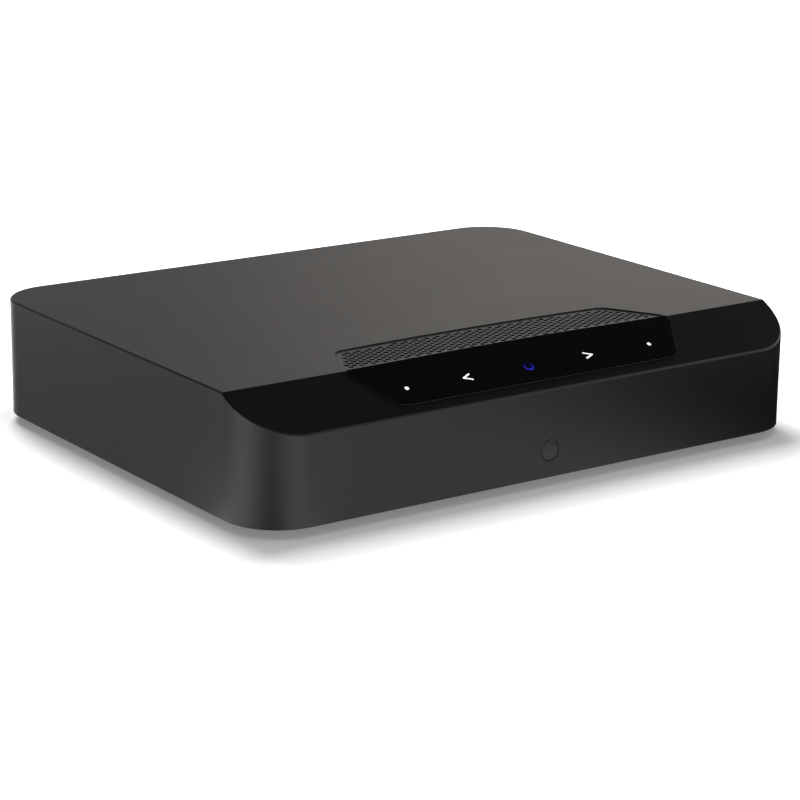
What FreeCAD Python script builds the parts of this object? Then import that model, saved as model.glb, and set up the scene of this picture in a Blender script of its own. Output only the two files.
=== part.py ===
import FreeCAD, Part
import Sketcher
import math
import os
import re

# Streaming amplifier: a low box with a sloped front shoulder, a touch panel on the slope,
# a perforated vent behind it, and loudspeaker posts and sockets at the back.
# Frame: X to the right, Y to the back, Z up. The origin is on the floor under the middle.
# Lengths are in millimetres, angles in degrees.

SIZES = {
    # case
    "case_width": 219,
    "case_depth": 172,
    "case_height": 40,
    "post_reach": 21,
    "corner_radius": 18.8,
    "wall": 2.4,
    "slope_run": 20.5,
    "slope_drop": 10.8,
    "edge_chamfer": 0.5,
    "fit_gap": 0.15,
    # feet and base
    "foot_height": 3.2,
    "foot_radius": 7,
    "foot_side_inset": 26,
    "foot_front_inset": 26,
    "foot_rear_inset": 24,
    "base_recess": 0.6,
    "base_thickness": 2,
    "vent_slot_width": 2.4,
    "vent_slot_length": 30,
    "vent_slot_pitch": 8,
    "vent_slot_count": 10,
    "vent_slot_from_front": 66.5,
    # screw bosses of the case
    "boss_radius": 4,
    "boss_side_inset": 8,
    "boss_front_inset": 34,
    "boss_rear_inset": 15,
    "case_screw_radius": 1.5,
    "case_screw_length": 12,
    "case_screw_head_radius": 3,
    "case_screw_head_height": 1.3,
    "screw_gap": 0.2,
    # recess shared by the vent grille and the touch panel
    "recess_half_width": 64.6,
    "recess_shoulder": 3,
    "recess_taper": 0.55,
    "recess_round": 5,
    "seat_ledge": 2.2,
    # vent grille
    "grille_reach": 21.5,
    "grille_crown": 1.8,
    "grille_sink": 0.7,
    "grille_thickness": 0.8,
    "grille_front_gap": 0.9,
    "grille_rim": 1.5,
    "hole_across": 2.3,
    "hole_pitch_x": 2.95,
    "hole_pitch_y": 3.3,
    # touch panel, on the slope
    "panel_foot_margin": 3.97,
    "panel_thickness": 1.6,
    "panel_proud": 0.45,
    "panel_arch": 0.8,
    "light_guide_side_inset": 12.6,
    "light_guide_end_inset": 3.1,
    "light_guide_thickness": 2,
    "touch_board_thickness": 1,
    "touch_board_margin": 1.5,
    # receiver window in the front
    "window_radius": 3.4,
    "window_height": 9,
    "window_length": 4.2,
    "window_flange": 1.2,
    "window_flange_radius": 4.6,
    "receiver_width": 6,
    "receiver_height": 7,
    "receiver_thickness": 3,
    "front_board_width": 30,
    "front_board_height": 15,
    "front_board_thickness": 1.2,
    # rear panel
    "rear_opening_inset": 20.5,
    "rear_opening_height": 34,
    "rear_panel_lip": 1.6,
    "rear_panel_thickness": 2,
    "rear_panel_seam": 0.2,
    "socket_gap": 0.25,
    "socket_proud": 0.6,
    # loudspeaker posts
    "post_pitch": 19,
    "post_rise": 16.2,
    "block_margin": 7.6,
    "block_thickness": 2,
    "collar_radius": 7,
    "collar_length": 2.6,
    "stud_radius": 3,
    "stud_tail": 8,
    "stud_end_inset": 2.4,
    "plug_bore_radius": 2,
    "plug_bore_depth": 19,
    "wire_hole_radius": 1.6,
    "wire_hole_offset": 2,
    "post_nut_across": 10,
    "post_nut_length": 4,
    "running_gap": 0.05,
    "seat_gap": 0.3,
    "insert_radius": 4.6,
    "insert_length": 8.4,
    "cap_radius": 7,
    "cap_mouth_radius": 3.3,
    "cap_skirt": 2.4,
    "flute_depth": 0.55,
    # boards
    "board_gap": 1.2,
    "board_lift": 4,
    "board_thickness": 1.6,
    "main_board_depth": 100,
    "main_board_side_gap": 11,
    "power_board_width": 37,
    "power_board_depth": 128,
    "power_board_side_gap": 11,
    "board_rear_gap": 0.6,
    "board_screw_inset": 5,
    "board_screw_rear_inset": 40,
    "board_screw_radius": 1.5,
    "board_screw_head_radius": 3,
    "board_screw_head_height": 2,
    "standoff_radius": 3.2,
    # ethernet socket
    "ethernet_width": 16,
    "ethernet_height": 13.6,
    "ethernet_depth": 18,
    "ethernet_mouth_width": 11.8,
    "ethernet_mouth_height": 7.2,
    "ethernet_mouth_sill": 3.4,
    "ethernet_mouth_depth": 12,
    "ethernet_key_width": 6.2,
    "ethernet_key_height": 1.8,
    # picture and sound socket
    "hdmi_width": 15,
    "hdmi_height": 5.6,
    "hdmi_depth": 12,
    "hdmi_skin": 0.4,
    "hdmi_bevel": 1.3,
    "hdmi_tongue_width": 11.6,
    "hdmi_tongue_height": 1.4,
    # memory stick socket
    "usb_width": 13.2,
    "usb_height": 5.9,
    "usb_depth": 14,
    "usb_skin": 0.35,
    "usb_tongue_width": 11.2,
    "usb_tongue_height": 1.9,
    # sound input and subwoofer sockets
    "audio_body_width": 8.6,
    "audio_body_depth": 12,
    "audio_body_height": 6.6,
    "audio_nose_radius": 3,
    "audio_bore_radius": 1.78,
    "audio_bore_depth": 12,
    "sub_rise": 22.8,
    "sub_barrel_radius": 4.15,
    "sub_barrel_length": 9,
    "sub_barrel_wall": 0.7,
    "sub_flange_radius": 5.4,
    "sub_flange_thickness": 1.2,
    "sub_tail": 7,
    "sub_contact_radius": 1.6,
    "sub_contact_depth": 8.5,
    # mains inlet
    "mains_width": 22,
    "mains_height": 13,
    "mains_depth": 19,
    "mains_rise": 16.2,
    "mains_pin_pitch": 8.6,
    "mains_lobe_radius": 4.5,
    "mains_waist": 7.2,
    "mains_mouth_depth": 15,
    "mains_pin_radius": 1.2,
    "mains_pin_length": 12,
    # parts on the power board
    "core_width": 28,
    "core_depth": 24,
    "core_height": 24,
    "core_leg": 5,
    "core_from_front": 64,
    "winding_margin": 3.5,
    "tank_radius": 8,
    "tank_height": 25,
    "tank_pitch": 18,
    "tank_from_front": 26,
    "choke_radius": 9,
    "choke_bore_radius": 4,
    "choke_height": 12,
    "choke_from_front": 95,
    "fuse_radius": 2.6,
    "fuse_length": 20,
    "fuse_side": 14,
    "fuse_from_front": 96,
    "power_sink_width": 34,
    "power_sink_height": 22,
    "power_sink_thickness": 2,
    "power_sink_foot": 8,
    "power_sink_from_front": 37,
    # parts on the main board, placed from its left edge and its rear edge
    "amp_from_rear": 50.5,
    "chip_width": 14,
    "chip_height": 1.2,
    "amp_sink_fins": 9,
    "amp_sink_pitch": 5,
    "amp_sink_fin": 1.4,
    "amp_sink_height": 17,
    "amp_sink_base": 3,
    "amp_sink_length": 34,
    "coil_width": 11,
    "coil_height": 9,
    "coil_from_rear": 20.5,
    "film_width": 7,
    "film_depth": 10,
    "film_height": 10,
    "supply_from_side": 69.9,
    "supply_from_rear": 62.5,
    "supply_radius": 6,
    "supply_height": 20,
    "supply_pitch": 15,
    "module_from_side": 27.9,
    "module_from_rear": 48.5,
    "module_width": 30,
    "module_depth": 24,
    "module_thickness": 1,
    "can_margin": 2,
    "can_height": 3,
    "processor_from_side": 27.9,
    "processor_from_rear": 78.5,
    "processor_sink_fins": 5,
    "processor_sink_pitch": 4.6,
    "processor_sink_fin": 1.2,
    "processor_sink_height": 8,
    "processor_sink_base": 2,
    "processor_sink_length": 20,
    # antennas on the inner side walls
    "antenna_length": 38,
    "antenna_height": 9,
    "antenna_thickness": 0.8,
    "antenna_from_front": 96.5,
    "antenna_drop": 12.8,
    # flat cable of the touch board
    "flat_cable_width": 14,
    "flat_cable_thickness": 0.4,
    "flat_cable_bend": 4,
    "flat_cable_from_front": 16,
    "flat_cable_overlap": 9,
}

POST_COUNT = 4
# Equal gaps between the sockets and at both ends of their row
ROW_GAPS = 7

# Places that follow from the sizes above
PLACES = {
    "front_y": "-(case_depth + post_reach) / 2",
    "rear_y": "front_y + case_depth",
    "top_z": "foot_height + case_height",
    "fold_y": "front_y + slope_run",
    "slope_foot_z": "top_z - slope_drop",
    "slope_length": "sqrt(slope_run^2 + slope_drop^2)",
    "slope_angle": "atan(slope_drop / slope_run) / 1deg",
    "base_z": "foot_height + base_recess",
    "deck_z": "base_z + base_thickness",
    "ceiling_z": "top_z - wall",
    "grille_seat": "grille_sink + grille_thickness",
    "panel_seat": "panel_thickness - panel_proud",
    "panel_drop": "slope_length - panel_foot_margin",
    "shoulder_rise": "recess_half_width + recess_taper * recess_shoulder",
    "panel_face_y": "rear_y - wall",
    "panel_back_y": "panel_face_y - rear_panel_thickness",
    "socket_face_y": "panel_face_y + socket_proud",
    "block_face_y": "panel_face_y + block_thickness",
    "collar_face_y": "block_face_y + collar_length",
    "cap_base_y": "collar_face_y + seat_gap",
    "cap_end_y": "rear_y + post_reach",
    "stud_end_y": "cap_end_y - stud_end_inset",
    "board_z": "deck_z + board_lift",
    "board_top_z": "board_z + board_thickness",
    "board_rear_y": "panel_back_y - board_rear_gap",
    "main_right_x": "case_width / 2 - wall - main_board_side_gap",
    "power_left_x": "-case_width / 2 + wall + power_board_side_gap",
    "main_left_x": "power_left_x + power_board_width + board_gap",
    "main_width": "main_right_x - main_left_x",
    "main_front_y": "board_rear_y - main_board_depth",
    "power_front_y": "board_rear_y - power_board_depth",
    "rear_opening_half": "case_width / 2 - rear_opening_inset",
    "block_width": f"{POST_COUNT - 1} * post_pitch + 2 * block_margin",
    "sockets_width": "mains_width + ethernet_width + hdmi_width + usb_width + 2 * sub_flange_radius",
    "row_gap": f"(2 * rear_opening_half - block_width - sockets_width) / {ROW_GAPS}",
    "mains_x": "-rear_opening_half + row_gap + mains_width / 2",
    "ethernet_x": "mains_x + mains_width / 2 + row_gap + ethernet_width / 2",
    "hdmi_x": "ethernet_x + ethernet_width / 2 + row_gap + hdmi_width / 2",
    "usb_x": "hdmi_x + hdmi_width / 2 + row_gap + usb_width / 2",
    "seam_x": "usb_x + usb_width / 2 + row_gap / 2",
    "audio_x": "usb_x + usb_width / 2 + row_gap + sub_flange_radius",
    "post_first_x": "audio_x + sub_flange_radius + row_gap + block_margin",
    "power_x": "power_left_x + power_board_width / 2",
    "post_z": "deck_z + post_rise",
    "audio_z": "board_top_z + audio_body_height / 2",
    "sub_z": "deck_z + sub_rise",
    "mains_z": "deck_z + mains_rise",
    "amp_y": "board_rear_y - amp_from_rear",
    "coil_y": "board_rear_y - coil_from_rear",
    "supply_x": "main_left_x + supply_from_side",
    "amp_x": "(supply_x + supply_radius + main_right_x - board_screw_inset - board_screw_head_radius) / 2",
    "supply_y": "board_rear_y - supply_from_rear",
    "module_x": "main_left_x + module_from_side",
    "module_y": "board_rear_y - module_from_rear",
    "processor_x": "main_left_x + processor_from_side",
    "processor_y": "board_rear_y - processor_from_rear",
    "antenna_y": "front_y + antenna_from_front",
    "antenna_z": "ceiling_z - antenna_drop",
    "window_z": "foot_height + window_height",
    "boss_x": "case_width / 2 - boss_side_inset",
    "boss_front_y": "front_y + boss_front_inset",
    "boss_rear_y": "rear_y - boss_rear_inset",
}

doc = FreeCAD.newDocument("streaming_amplifier")
sizes_sheet = doc.addObject("Spreadsheet::Sheet", "Sizes")
places_sheet = doc.addObject("Spreadsheet::Sheet", "Places")


def bind(text):
    """The expression with each named size or place read from its sheet."""

    def lookup(match):
        word = match.group()
        if word in SIZES:
            return "Sizes." + word
        if word in PLACES:
            return "Places." + word
        return word

    return re.sub(r"[A-Za-z_]\w*", lookup, str(text))


def fill_sheets():
    for row, (name, value) in enumerate(SIZES.items(), start=1):
        sizes_sheet.set(f"A{row}", name)
        sizes_sheet.set(f"B{row}", str(value))
        sizes_sheet.setAlias(f"B{row}", name)
    doc.recompute()
    for row, (name, formula) in enumerate(PLACES.items(), start=1):
        places_sheet.set(f"A{row}", name)
        places_sheet.setAlias(f"B{row}", name)
        places_sheet.set(f"B{row}", "=" + bind(formula).replace("Places.", ""))
    doc.recompute()


def number(text):
    """The value of an expression in the sheets' names."""
    value = sizes_sheet.evalExpression(bind(text))
    return float(getattr(value, "Value", value))


fill_sheets()

# The separate pieces, each an object whose Label names its file
nodes = []


def node(thing, label):
    thing.Label = label
    nodes.append(thing)
    return thing


def bind_place(thing, x, y, z, prefix="Placement"):
    thing.setExpression(prefix + ".Base.x", bind(x))
    thing.setExpression(prefix + ".Base.y", bind(y))
    thing.setExpression(prefix + ".Base.z", bind(z))


# Part primitives

ALONG_Y = FreeCAD.Rotation(FreeCAD.Vector(1, 0, 0), -90)
UPRIGHT = FreeCAD.Rotation()


# How far a cutting tool reaches past the piece that it cuts
OVER = "1"


def box(name, low, high):
    """A block between two corners, each three expressions."""
    thing = doc.addObject("Part::Box", name)
    for side, start, end in zip(("Length", "Width", "Height"), low, high):
        thing.setExpression(side, bind(f"({end}) - ({start})"))
    bind_place(thing, *low)
    return thing


def cylinder(name, radius, length, start, turn=UPRIGHT):
    thing = doc.addObject("Part::Cylinder", name)
    thing.setExpression("Radius", bind(radius))
    thing.setExpression("Height", bind(length))
    thing.Placement = FreeCAD.Placement(FreeCAD.Vector(), turn)
    bind_place(thing, *start)
    return thing


# Sides of the bars that stand for small round forms, to keep the facets few
HEX = 6
ROUND = 12
FINE_ROUND = 18
WINDOW_SIDES = 24


def prism(name, sides, radius, height, start, turn=UPRIGHT):
    """A bar of regular section whose corners lie at the radius."""
    thing = doc.addObject("Part::Prism", name)
    thing.Polygon = sides
    thing.setExpression("Circumradius", bind(radius))
    thing.setExpression("Height", bind(height))
    thing.Placement = FreeCAD.Placement(FreeCAD.Vector(), turn)
    bind_place(thing, *start)
    return thing


def around(radius, sides):
    """The corner radius of a regular hole that clears a round bar of the radius."""
    return f"({radius}) / cos(180deg / {sides})"


def fuse(name, *things):
    thing = doc.addObject("Part::MultiFuse", name)
    thing.Shapes = list(things)
    thing.Refine = True
    return thing


def cut(name, base, *tools):
    thing = doc.addObject("Part::Cut", name)
    thing.Base = base
    thing.Tool = tools[0] if len(tools) == 1 else fuse(name + "_tools", *tools)
    return thing


def group(name, *things):
    """Separate solids kept together as one piece."""
    thing = doc.addObject("Part::Compound", name)
    thing.Links = list(things)
    return thing


# PartDesign bodies

def new_blank(name):
    body = doc.addObject("PartDesign::Body", name)
    doc.recompute()
    return body


def new_body(label):
    return node(new_blank(label), label)


def new_sketch(body, name, plane, offset="0", tilt=None, start=("0", "0")):
    """A sketch on one of the body's own planes, moved along its normal, or tilted about X."""
    sketch = body.newObject("Sketcher::SketchObject", name)
    own_plane = [p for p in body.Origin.OriginFeatures if p.Role == plane][0]
    sketch.AttachmentSupport = [(own_plane, "")]
    sketch.MapMode = "FlatFace"
    if tilt is not None:
        turn = FreeCAD.Rotation(FreeCAD.Vector(1, 0, 0), number(tilt))
        sketch.AttachmentOffset = FreeCAD.Placement(FreeCAD.Vector(), turn)
        sketch.setExpression("AttachmentOffset.Rotation.Angle", bind(tilt))
    bind_place(sketch, start[0], start[1], offset, "AttachmentOffset")
    return sketch


def bind_constraint(sketch, constraint, expression):
    index = sketch.addConstraint(constraint)
    sketch.setExpression(f"Constraints[{index}]", bind(expression))


def pin_point(sketch, line, end, x, y):
    """Holds one end of a line at x, y from the sketch's origin."""
    origin = (-1, 1)
    across = Sketcher.Constraint("DistanceX", *origin, line, end, number(x))
    along = Sketcher.Constraint("DistanceY", *origin, line, end, number(y))
    bind_constraint(sketch, across, x)
    bind_constraint(sketch, along, y)


def polygon(sketch, corners, bulges=None):
    """A closed outline through the corners. A bulge is (edge number, rise) for an arched edge."""
    bulges = dict(bulges or [])
    points = [FreeCAD.Vector(number(x), number(y), 0) for x, y in corners]
    edges = []
    for i, (a, b) in enumerate(zip(points, points[1:] + points[:1])):
        if i in bulges:
            rise = number(bulges[i])
            side = (b - a).cross(FreeCAD.Vector(0, 0, 1)).normalize()
            crest = (a + b) / 2 + side * rise
            edge = Part.Arc(a, crest, b) if rise > 0 else Part.Arc(b, crest, a)
        else:
            edge = Part.LineSegment(a, b)
        index = sketch.addGeometry(edge, False)
        starts_at_a = sketch.Geometry[index].StartPoint.distanceToPoint(a) < 1e-6
        edges.append((index, (1, 2) if starts_at_a else (2, 1)))
    for i, (x, y) in enumerate(corners):
        line, ends = edges[i]
        before, ends_before = edges[i - 1]
        sketch.addConstraint(Sketcher.Constraint("Coincident", before, ends_before[1], line, ends[0]))
        pin_point(sketch, line, ends[0], x, y)
    for i, rise in bulges.items():
        (ax, ay), (bx, by) = corners[i], corners[(i + 1) % len(corners)]
        chord = f"sqrt((({bx}) - ({ax}))^2 + (({by}) - ({ay}))^2)"
        radius = f"(({chord} / 2)^2 + ({rise})^2) / (2 * abs({rise}))"
        bend = Sketcher.Constraint("Radius", edges[i][0], number(radius))
        bind_constraint(sketch, bend, radius)
    return sketch


def rectangle(low, high):
    return [(low[0], low[1]), (high[0], low[1]), (high[0], high[1]), (low[0], high[1])]


def regular(sides, x, y, radius):
    """The corners of a regular outline that lie at the radius."""
    angles = [f"{k} * 360deg / {sides}" for k in range(sides)]
    return [(f"{x} + {radius} * cos({angle})", f"{y} + {radius} * sin({angle})") for angle in angles]


def extrude(kind, body, sketch, length, reverse=False, middle=False):
    before = body.Shape.Volume if body.Shape and not body.Shape.isNull() else 0
    feature = body.newObject(kind, sketch.Name + "_" + kind.split("::")[1].lower())
    feature.Profile = sketch
    feature.Reversed = reverse
    if middle:
        feature.Midplane = True
    feature.setExpression("Length", bind(length))
    sketch.Visibility = False
    doc.recompute()
    change = body.Shape.Volume - before
    grows = kind.endswith("Pad")
    if (change > 0) != grows:
        raise RuntimeError(f"{feature.Name} changes the volume by {change:.3f}")
    return feature


def pad(body, sketch, length, reverse=False, middle=False):
    return extrude("PartDesign::Pad", body, sketch, length, reverse, middle)


def pocket(body, sketch, length, reverse=False, middle=False):
    return extrude("PartDesign::Pocket", body, sketch, length, reverse, middle)


def dress(kind, body, name, prop, size, test):
    """A fillet or chamfer on the body's edges that pass the test."""
    base = body.Tip
    picked = [f"Edge{i}" for i, edge in enumerate(base.Shape.Edges, start=1) if test(edge)]
    if not picked:
        raise RuntimeError(f"{name} finds no edge")
    feature = body.newObject(kind, name)
    feature.Base = (base, picked)
    feature.setExpression(prop, bind(size))
    doc.recompute()
    return feature


def fillet(body, name, size, test):
    return dress("PartDesign::Fillet", body, name, "Radius", size, test)


def edge_ends(edge):
    return [v.Point for v in edge.Vertexes]


def runs_along(edge, direction):
    ends = edge_ends(edge)
    if len(ends) < 2 or edge.Curve.TypeId != "Part::GeomLine":
        return False
    run = (ends[1] - ends[0]).normalize()
    return abs(run.dot(direction)) > 0.9999


X_AXIS = FreeCAD.Vector(1, 0, 0)
Z_AXIS = FreeCAD.Vector(0, 0, 1)


# The recess outline. Both halves are widest at the fold and narrow away from it.

def half_recess(start, reach, inset, clearance):
    """Corners of one half: y grows away from the fold. The last edge is the far one."""
    shift = f"({inset}) - ({clearance})"
    slant = f"sqrt(1 + recess_taper^2) * ({shift})"
    wide = f"(recess_half_width - ({shift}))"
    knee = f"(recess_shoulder - ({shift}) * (sqrt(1 + recess_taper^2) - 1) / recess_taper)"
    far = f"(({reach}) - ({shift}))"
    narrow = f"(shoulder_rise - recess_taper * {far} - {slant})"
    return [
        (f"-{wide}", start),
        (wide, start),
        (wide, knee),
        (narrow, far),
        (f"-{narrow}", far),
        (f"-{wide}", knee),
    ]


def on_top(corners):
    """The half outline laid behind the fold on the flat top."""
    return [(x, f"fold_y + ({y})") for x, y in corners]


def down_slope(corners):
    """The half outline laid down the slope, in the slope's own plane."""
    return [(x, f"-({y})") for x, y in corners]


def fillet_recess(body, name, direction, distance, far_distance, depth):
    """Rounds the far corners of a recess or of the plate in it."""

    def standing(edge):
        near = abs(distance(edge.CenterOfMass) - far_distance) < 1
        return near and runs_along(edge, direction) and abs(edge.Length - depth) < 0.01

    fillet(body, name + "_corner", "recess_round", standing)


def behind_fold(point):
    return point.y - number("fold_y")


def slope_normal():
    angle = math.radians(number("slope_angle"))
    return FreeCAD.Vector(0, -math.sin(angle), math.cos(angle))


def below_fold(point):
    angle = math.radians(number("slope_angle"))
    down = FreeCAD.Vector(0, -math.cos(angle), -math.sin(angle))
    fold = FreeCAD.Vector(0, number("fold_y"), number("top_z"))
    return (point - fold).dot(down)


def slope_sketch(body, name, lift="0"):
    """A sketch in the plane of the slope, with its origin on the fold and y up the slope."""
    y = f"fold_y - ({lift}) * sin(slope_angle * 1deg)"
    z = f"top_z + ({lift}) * cos(slope_angle * 1deg)"
    return new_sketch(body, name, "XY_Plane", z, "slope_angle", ("0", y))


# Case

def make_top_shell():
    body = new_body("top_shell")
    plan = new_sketch(body, "case_plan", "XY_Plane", "foot_height")
    polygon(plan, rectangle(("-case_width / 2", "front_y"), ("case_width / 2", "rear_y")))
    pad(body, plan, "case_height")
    fillet(body, "case_corners", "corner_radius", lambda e: runs_along(e, Z_AXIS))

    wedge = new_sketch(body, "front_wedge", "YZ_Plane")
    polygon(wedge, [
        ("front_y - slope_run", "slope_foot_z - slope_drop"),
        ("fold_y + slope_run", "top_z + slope_drop"),
        ("front_y - slope_run", "top_z + slope_drop"),
    ])
    pocket(body, wedge, "2 * case_width", middle=True)

    floor = number("foot_height")
    bottom = [
        f"Face{i}" for i, face in enumerate(body.Shape.Faces, start=1)
        if abs(face.BoundBox.ZMax - floor) < 0.001
    ]
    hollow = body.newObject("PartDesign::Thickness", "case_hollow")
    hollow.Base = (body.Tip if body.Tip != hollow else hollow.BaseFeature, bottom)
    hollow.setExpression("Value", bind("wall"))
    hollow.Reversed = True
    hollow.Join = 1
    doc.recompute()

    bosses = new_sketch(body, "boss_plan", "XY_Plane", "deck_z")
    pilots = new_sketch(body, "pilot_plan", "XY_Plane", "deck_z")
    for x, y in boss_places():
        polygon(bosses, regular(ROUND, x, y, "boss_radius"))
        polygon(pilots, regular(HEX, x, y, "case_screw_radius"))
    pad(body, bosses, "ceiling_z + wall / 2 - deck_z")
    pocket(body, pilots, "case_screw_length", reverse=True)

    top = number("top_z")
    slope_foot = number("slope_foot_z")

    def on_upper_rim(edge):
        ends = edge_ends(edge)
        mid = edge.valueAt((edge.FirstParameter + edge.LastParameter) / 2)
        half_x = number("case_width / 2")
        outside = min(half_x - abs(mid.x), mid.y - number("front_y"), number("rear_y") - mid.y)
        high = min(p.z for p in ends) > slope_foot - 0.01
        in_corner = math.hypot(
            max(abs(mid.x) - (half_x - number("corner_radius")), 0),
            max(abs(mid.y - (number("rear_y") + number("front_y")) / 2)
                - (number("case_depth / 2") - number("corner_radius")), 0),
        ) > number("corner_radius") - 0.01
        level = max(p.z for p in ends) - min(p.z for p in ends) < 0.01
        on_skin = outside < 0.01 or in_corner
        return high and on_skin and not runs_along(edge, Z_AXIS) and (level or mid.y < number("fold_y"))

    dress("PartDesign::Chamfer", body, "case_edge_chamfer", "Size", "edge_chamfer", on_upper_rim)

    opening = new_sketch(body, "rear_opening", "XZ_Plane", "-rear_y")
    polygon(opening, rectangle(
        ("-rear_opening_half", "foot_height - wall"),
        ("rear_opening_half", "foot_height + rear_opening_height"),
    ))
    pocket(body, opening, "1.5 * wall", reverse=True)

    seat = new_sketch(body, "grille_seat_plan", "XY_Plane", "top_z")
    corners = half_recess("0", "grille_reach", "0", "fit_gap")
    polygon(seat, on_top(corners), [(3, "grille_crown")])
    pocket(body, seat, "grille_seat")
    fillet_recess(body, "grille_seat", Z_AXIS, behind_fold, number("grille_reach"), number("grille_seat"))

    window = new_sketch(body, "vent_window", "XY_Plane", "top_z")
    corners = half_recess("seat_ledge", "grille_reach", "seat_ledge", "0")
    polygon(window, on_top(corners), [(3, "grille_crown")])
    pocket(body, window, "2 * wall")

    panel = slope_sketch(body, "panel_seat_plan")
    corners = half_recess("-(panel_arch + fit_gap)", "panel_drop", "0", "fit_gap")
    polygon(panel, down_slope(corners))
    pocket(body, panel, "panel_seat")
    fillet_recess(body, "panel_seat", slope_normal(), below_fold, number("panel_drop"), number("panel_seat"))

    guide = slope_sketch(body, "guide_window")
    polygon(guide, rectangle(
        (f"-({GUIDE_WIDTH} / 2 + fit_gap)", f"-(panel_drop + {GUIDE_DROP}) / 2 - fit_gap"),
        (f"{GUIDE_WIDTH} / 2 + fit_gap", f"-(panel_drop - {GUIDE_DROP}) / 2 + fit_gap"),
    ))
    pocket(body, guide, "2 * wall")

    eye = new_sketch(body, "window_bore", "XZ_Plane", "-front_y")
    polygon(eye, regular(WINDOW_SIDES, "0", "window_z", "(window_radius + fit_gap)"))
    pocket(body, eye, "2 * wall")


def boss_places():
    return [(x, y) for x in ("-boss_x", "boss_x") for y in ("boss_front_y", "boss_rear_y")]


def foot_places():
    side = "(case_width / 2 - foot_side_inset)"
    places = {}
    for across, x in (("left", f"-{side}"), ("right", side)):
        for along, y in (("front", "front_y + foot_front_inset"), ("rear", "rear_y - foot_rear_inset")):
            places[f"foot_{along}_{across}"] = (x, y)
    return places


def make_base_plate():
    body = new_body("base_plate")
    inset = "(wall + fit_gap)"
    plan = new_sketch(body, "base_plan", "XY_Plane", "base_z")
    polygon(plan, rectangle(
        (f"-case_width / 2 + {inset}", f"front_y + {inset}"),
        (f"case_width / 2 - {inset}", f"rear_y - {inset}"),
    ))
    pad(body, plan, "base_thickness")
    fillet(body, "base_corners", f"corner_radius - {inset}", lambda e: runs_along(e, Z_AXIS))

    holes = new_sketch(body, "base_screw_holes", "XY_Plane", "base_z")
    seats = new_sketch(body, "base_screw_seats", "XY_Plane", "base_z")
    for x, y in boss_places():
        polygon(holes, regular(HEX, x, y, "(case_screw_radius + screw_gap)"))
        polygon(seats, regular(HEX, x, y, "(case_screw_head_radius + screw_gap)"))
    pocket(body, holes, "base_thickness", reverse=True)
    pocket(body, seats, "case_screw_head_height", reverse=True)

    slot = new_sketch(body, "base_vent_slot", "XY_Plane", "base_z")
    first_x = "(-vent_slot_pitch * (vent_slot_count - 1) / 2)"
    middle_y = "(front_y + vent_slot_from_front)"
    polygon(slot, rectangle(
        (f"{first_x} - vent_slot_width / 2", f"{middle_y} - vent_slot_length / 2"),
        (f"{first_x} + vent_slot_width / 2", f"{middle_y} + vent_slot_length / 2"),
    ))
    first_slot = pocket(body, slot, "base_thickness", reverse=True)
    row = body.newObject("PartDesign::LinearPattern", "base_vents")
    row.Originals = [first_slot]
    row.Direction = (slot, ["H_Axis"])
    row.setExpression("Length", bind("vent_slot_pitch * (vent_slot_count - 1)"))
    row.setExpression("Occurrences", bind("vent_slot_count"))
    body.Tip = row


def make_case_screws():
    screws = []
    for i, (x, y) in enumerate(boss_places(), start=1):
        flat = "case_screw_head_height"
        head = prism(f"case_screw_head_{i}", HEX, "case_screw_head_radius", flat, (x, y, "base_z"))
        start = (x, y, f"base_z + {flat}")
        length = f"base_thickness - {flat} + case_screw_length - screw_gap"
        shank = prism(f"case_screw_shank_{i}", HEX, "case_screw_radius", length, start)
        screws.append(fuse(f"case_screw_{i}", head, shank))
    node(group("case_screws", *screws), "case_screws")


def make_feet():
    feet = []
    for name, (x, y) in foot_places().items():
        feet.append(prism(name, ROUND, "foot_radius", "base_z", (x, y, "0")))
    node(group("rubber_feet", *feet), "rubber_feet")


# Vent grille and touch panel

def make_vent_grille():
    body = new_blank("vent_grille_blank")
    plan = new_sketch(body, "grille_plan", "XY_Plane", "top_z - grille_seat")
    corners = half_recess("grille_front_gap", "grille_reach", "0", "0")
    polygon(plan, on_top(corners), [(0, "-panel_arch"), (3, "grille_crown")])
    pad(body, plan, "grille_thickness")
    fillet_recess(body, "grille", Z_AXIS, behind_fold, number("grille_reach"), number("grille_thickness"))
    holes = doc.addObject("Part::Feature", "grille_holes")
    holes.Shape = grille_holes()
    node(cut("vent_grille", body, holes), "vent_grille")


def grille_holes():
    """Four-sided pins that punch the staggered holes, in columns that run to the back."""
    half = number("hole_across") / 2
    rim = number("grille_rim") + half
    pitch_x = number("hole_pitch_x")
    pitch_y = number("hole_pitch_y")
    taper = number("recess_taper")
    slant = math.sqrt(1 + taper ** 2)
    front = number("fold_y + grille_front_gap") + rim
    narrow = number("shoulder_rise - recess_taper * grille_reach")
    last_column = int((number("recess_half_width") - rim) / pitch_x)
    pins = []
    for column in range(-last_column, last_column + 1):
        x = column * pitch_x
        side_reach = (number("shoulder_rise") - abs(x) - rim * slant) / taper
        crown = number("grille_crown") * max(0, 1 - (x / narrow) ** 2)
        reach = min(side_reach, number("grille_reach") - rim + crown)
        arch = number("panel_arch") * max(0, 1 - (x / number("recess_half_width")) ** 2)
        y = front + arch + (pitch_y / 2 if column % 2 else 0)
        while y <= number("fold_y") + reach:
            pins.append(diamond(x, y, half))
            y += pitch_y
    return Part.makeCompound(pins)


def diamond(x, y, half):
    thickness = number("grille_thickness")
    bottom = number("top_z - grille_seat") - thickness
    corners = [(x + half, y), (x, y + half), (x - half, y), (x, y - half), (x + half, y)]
    wire = Part.makePolygon([FreeCAD.Vector(px, py, bottom) for px, py in corners])
    return Part.Face(wire).extrude(FreeCAD.Vector(0, 0, 3 * thickness))


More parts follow.
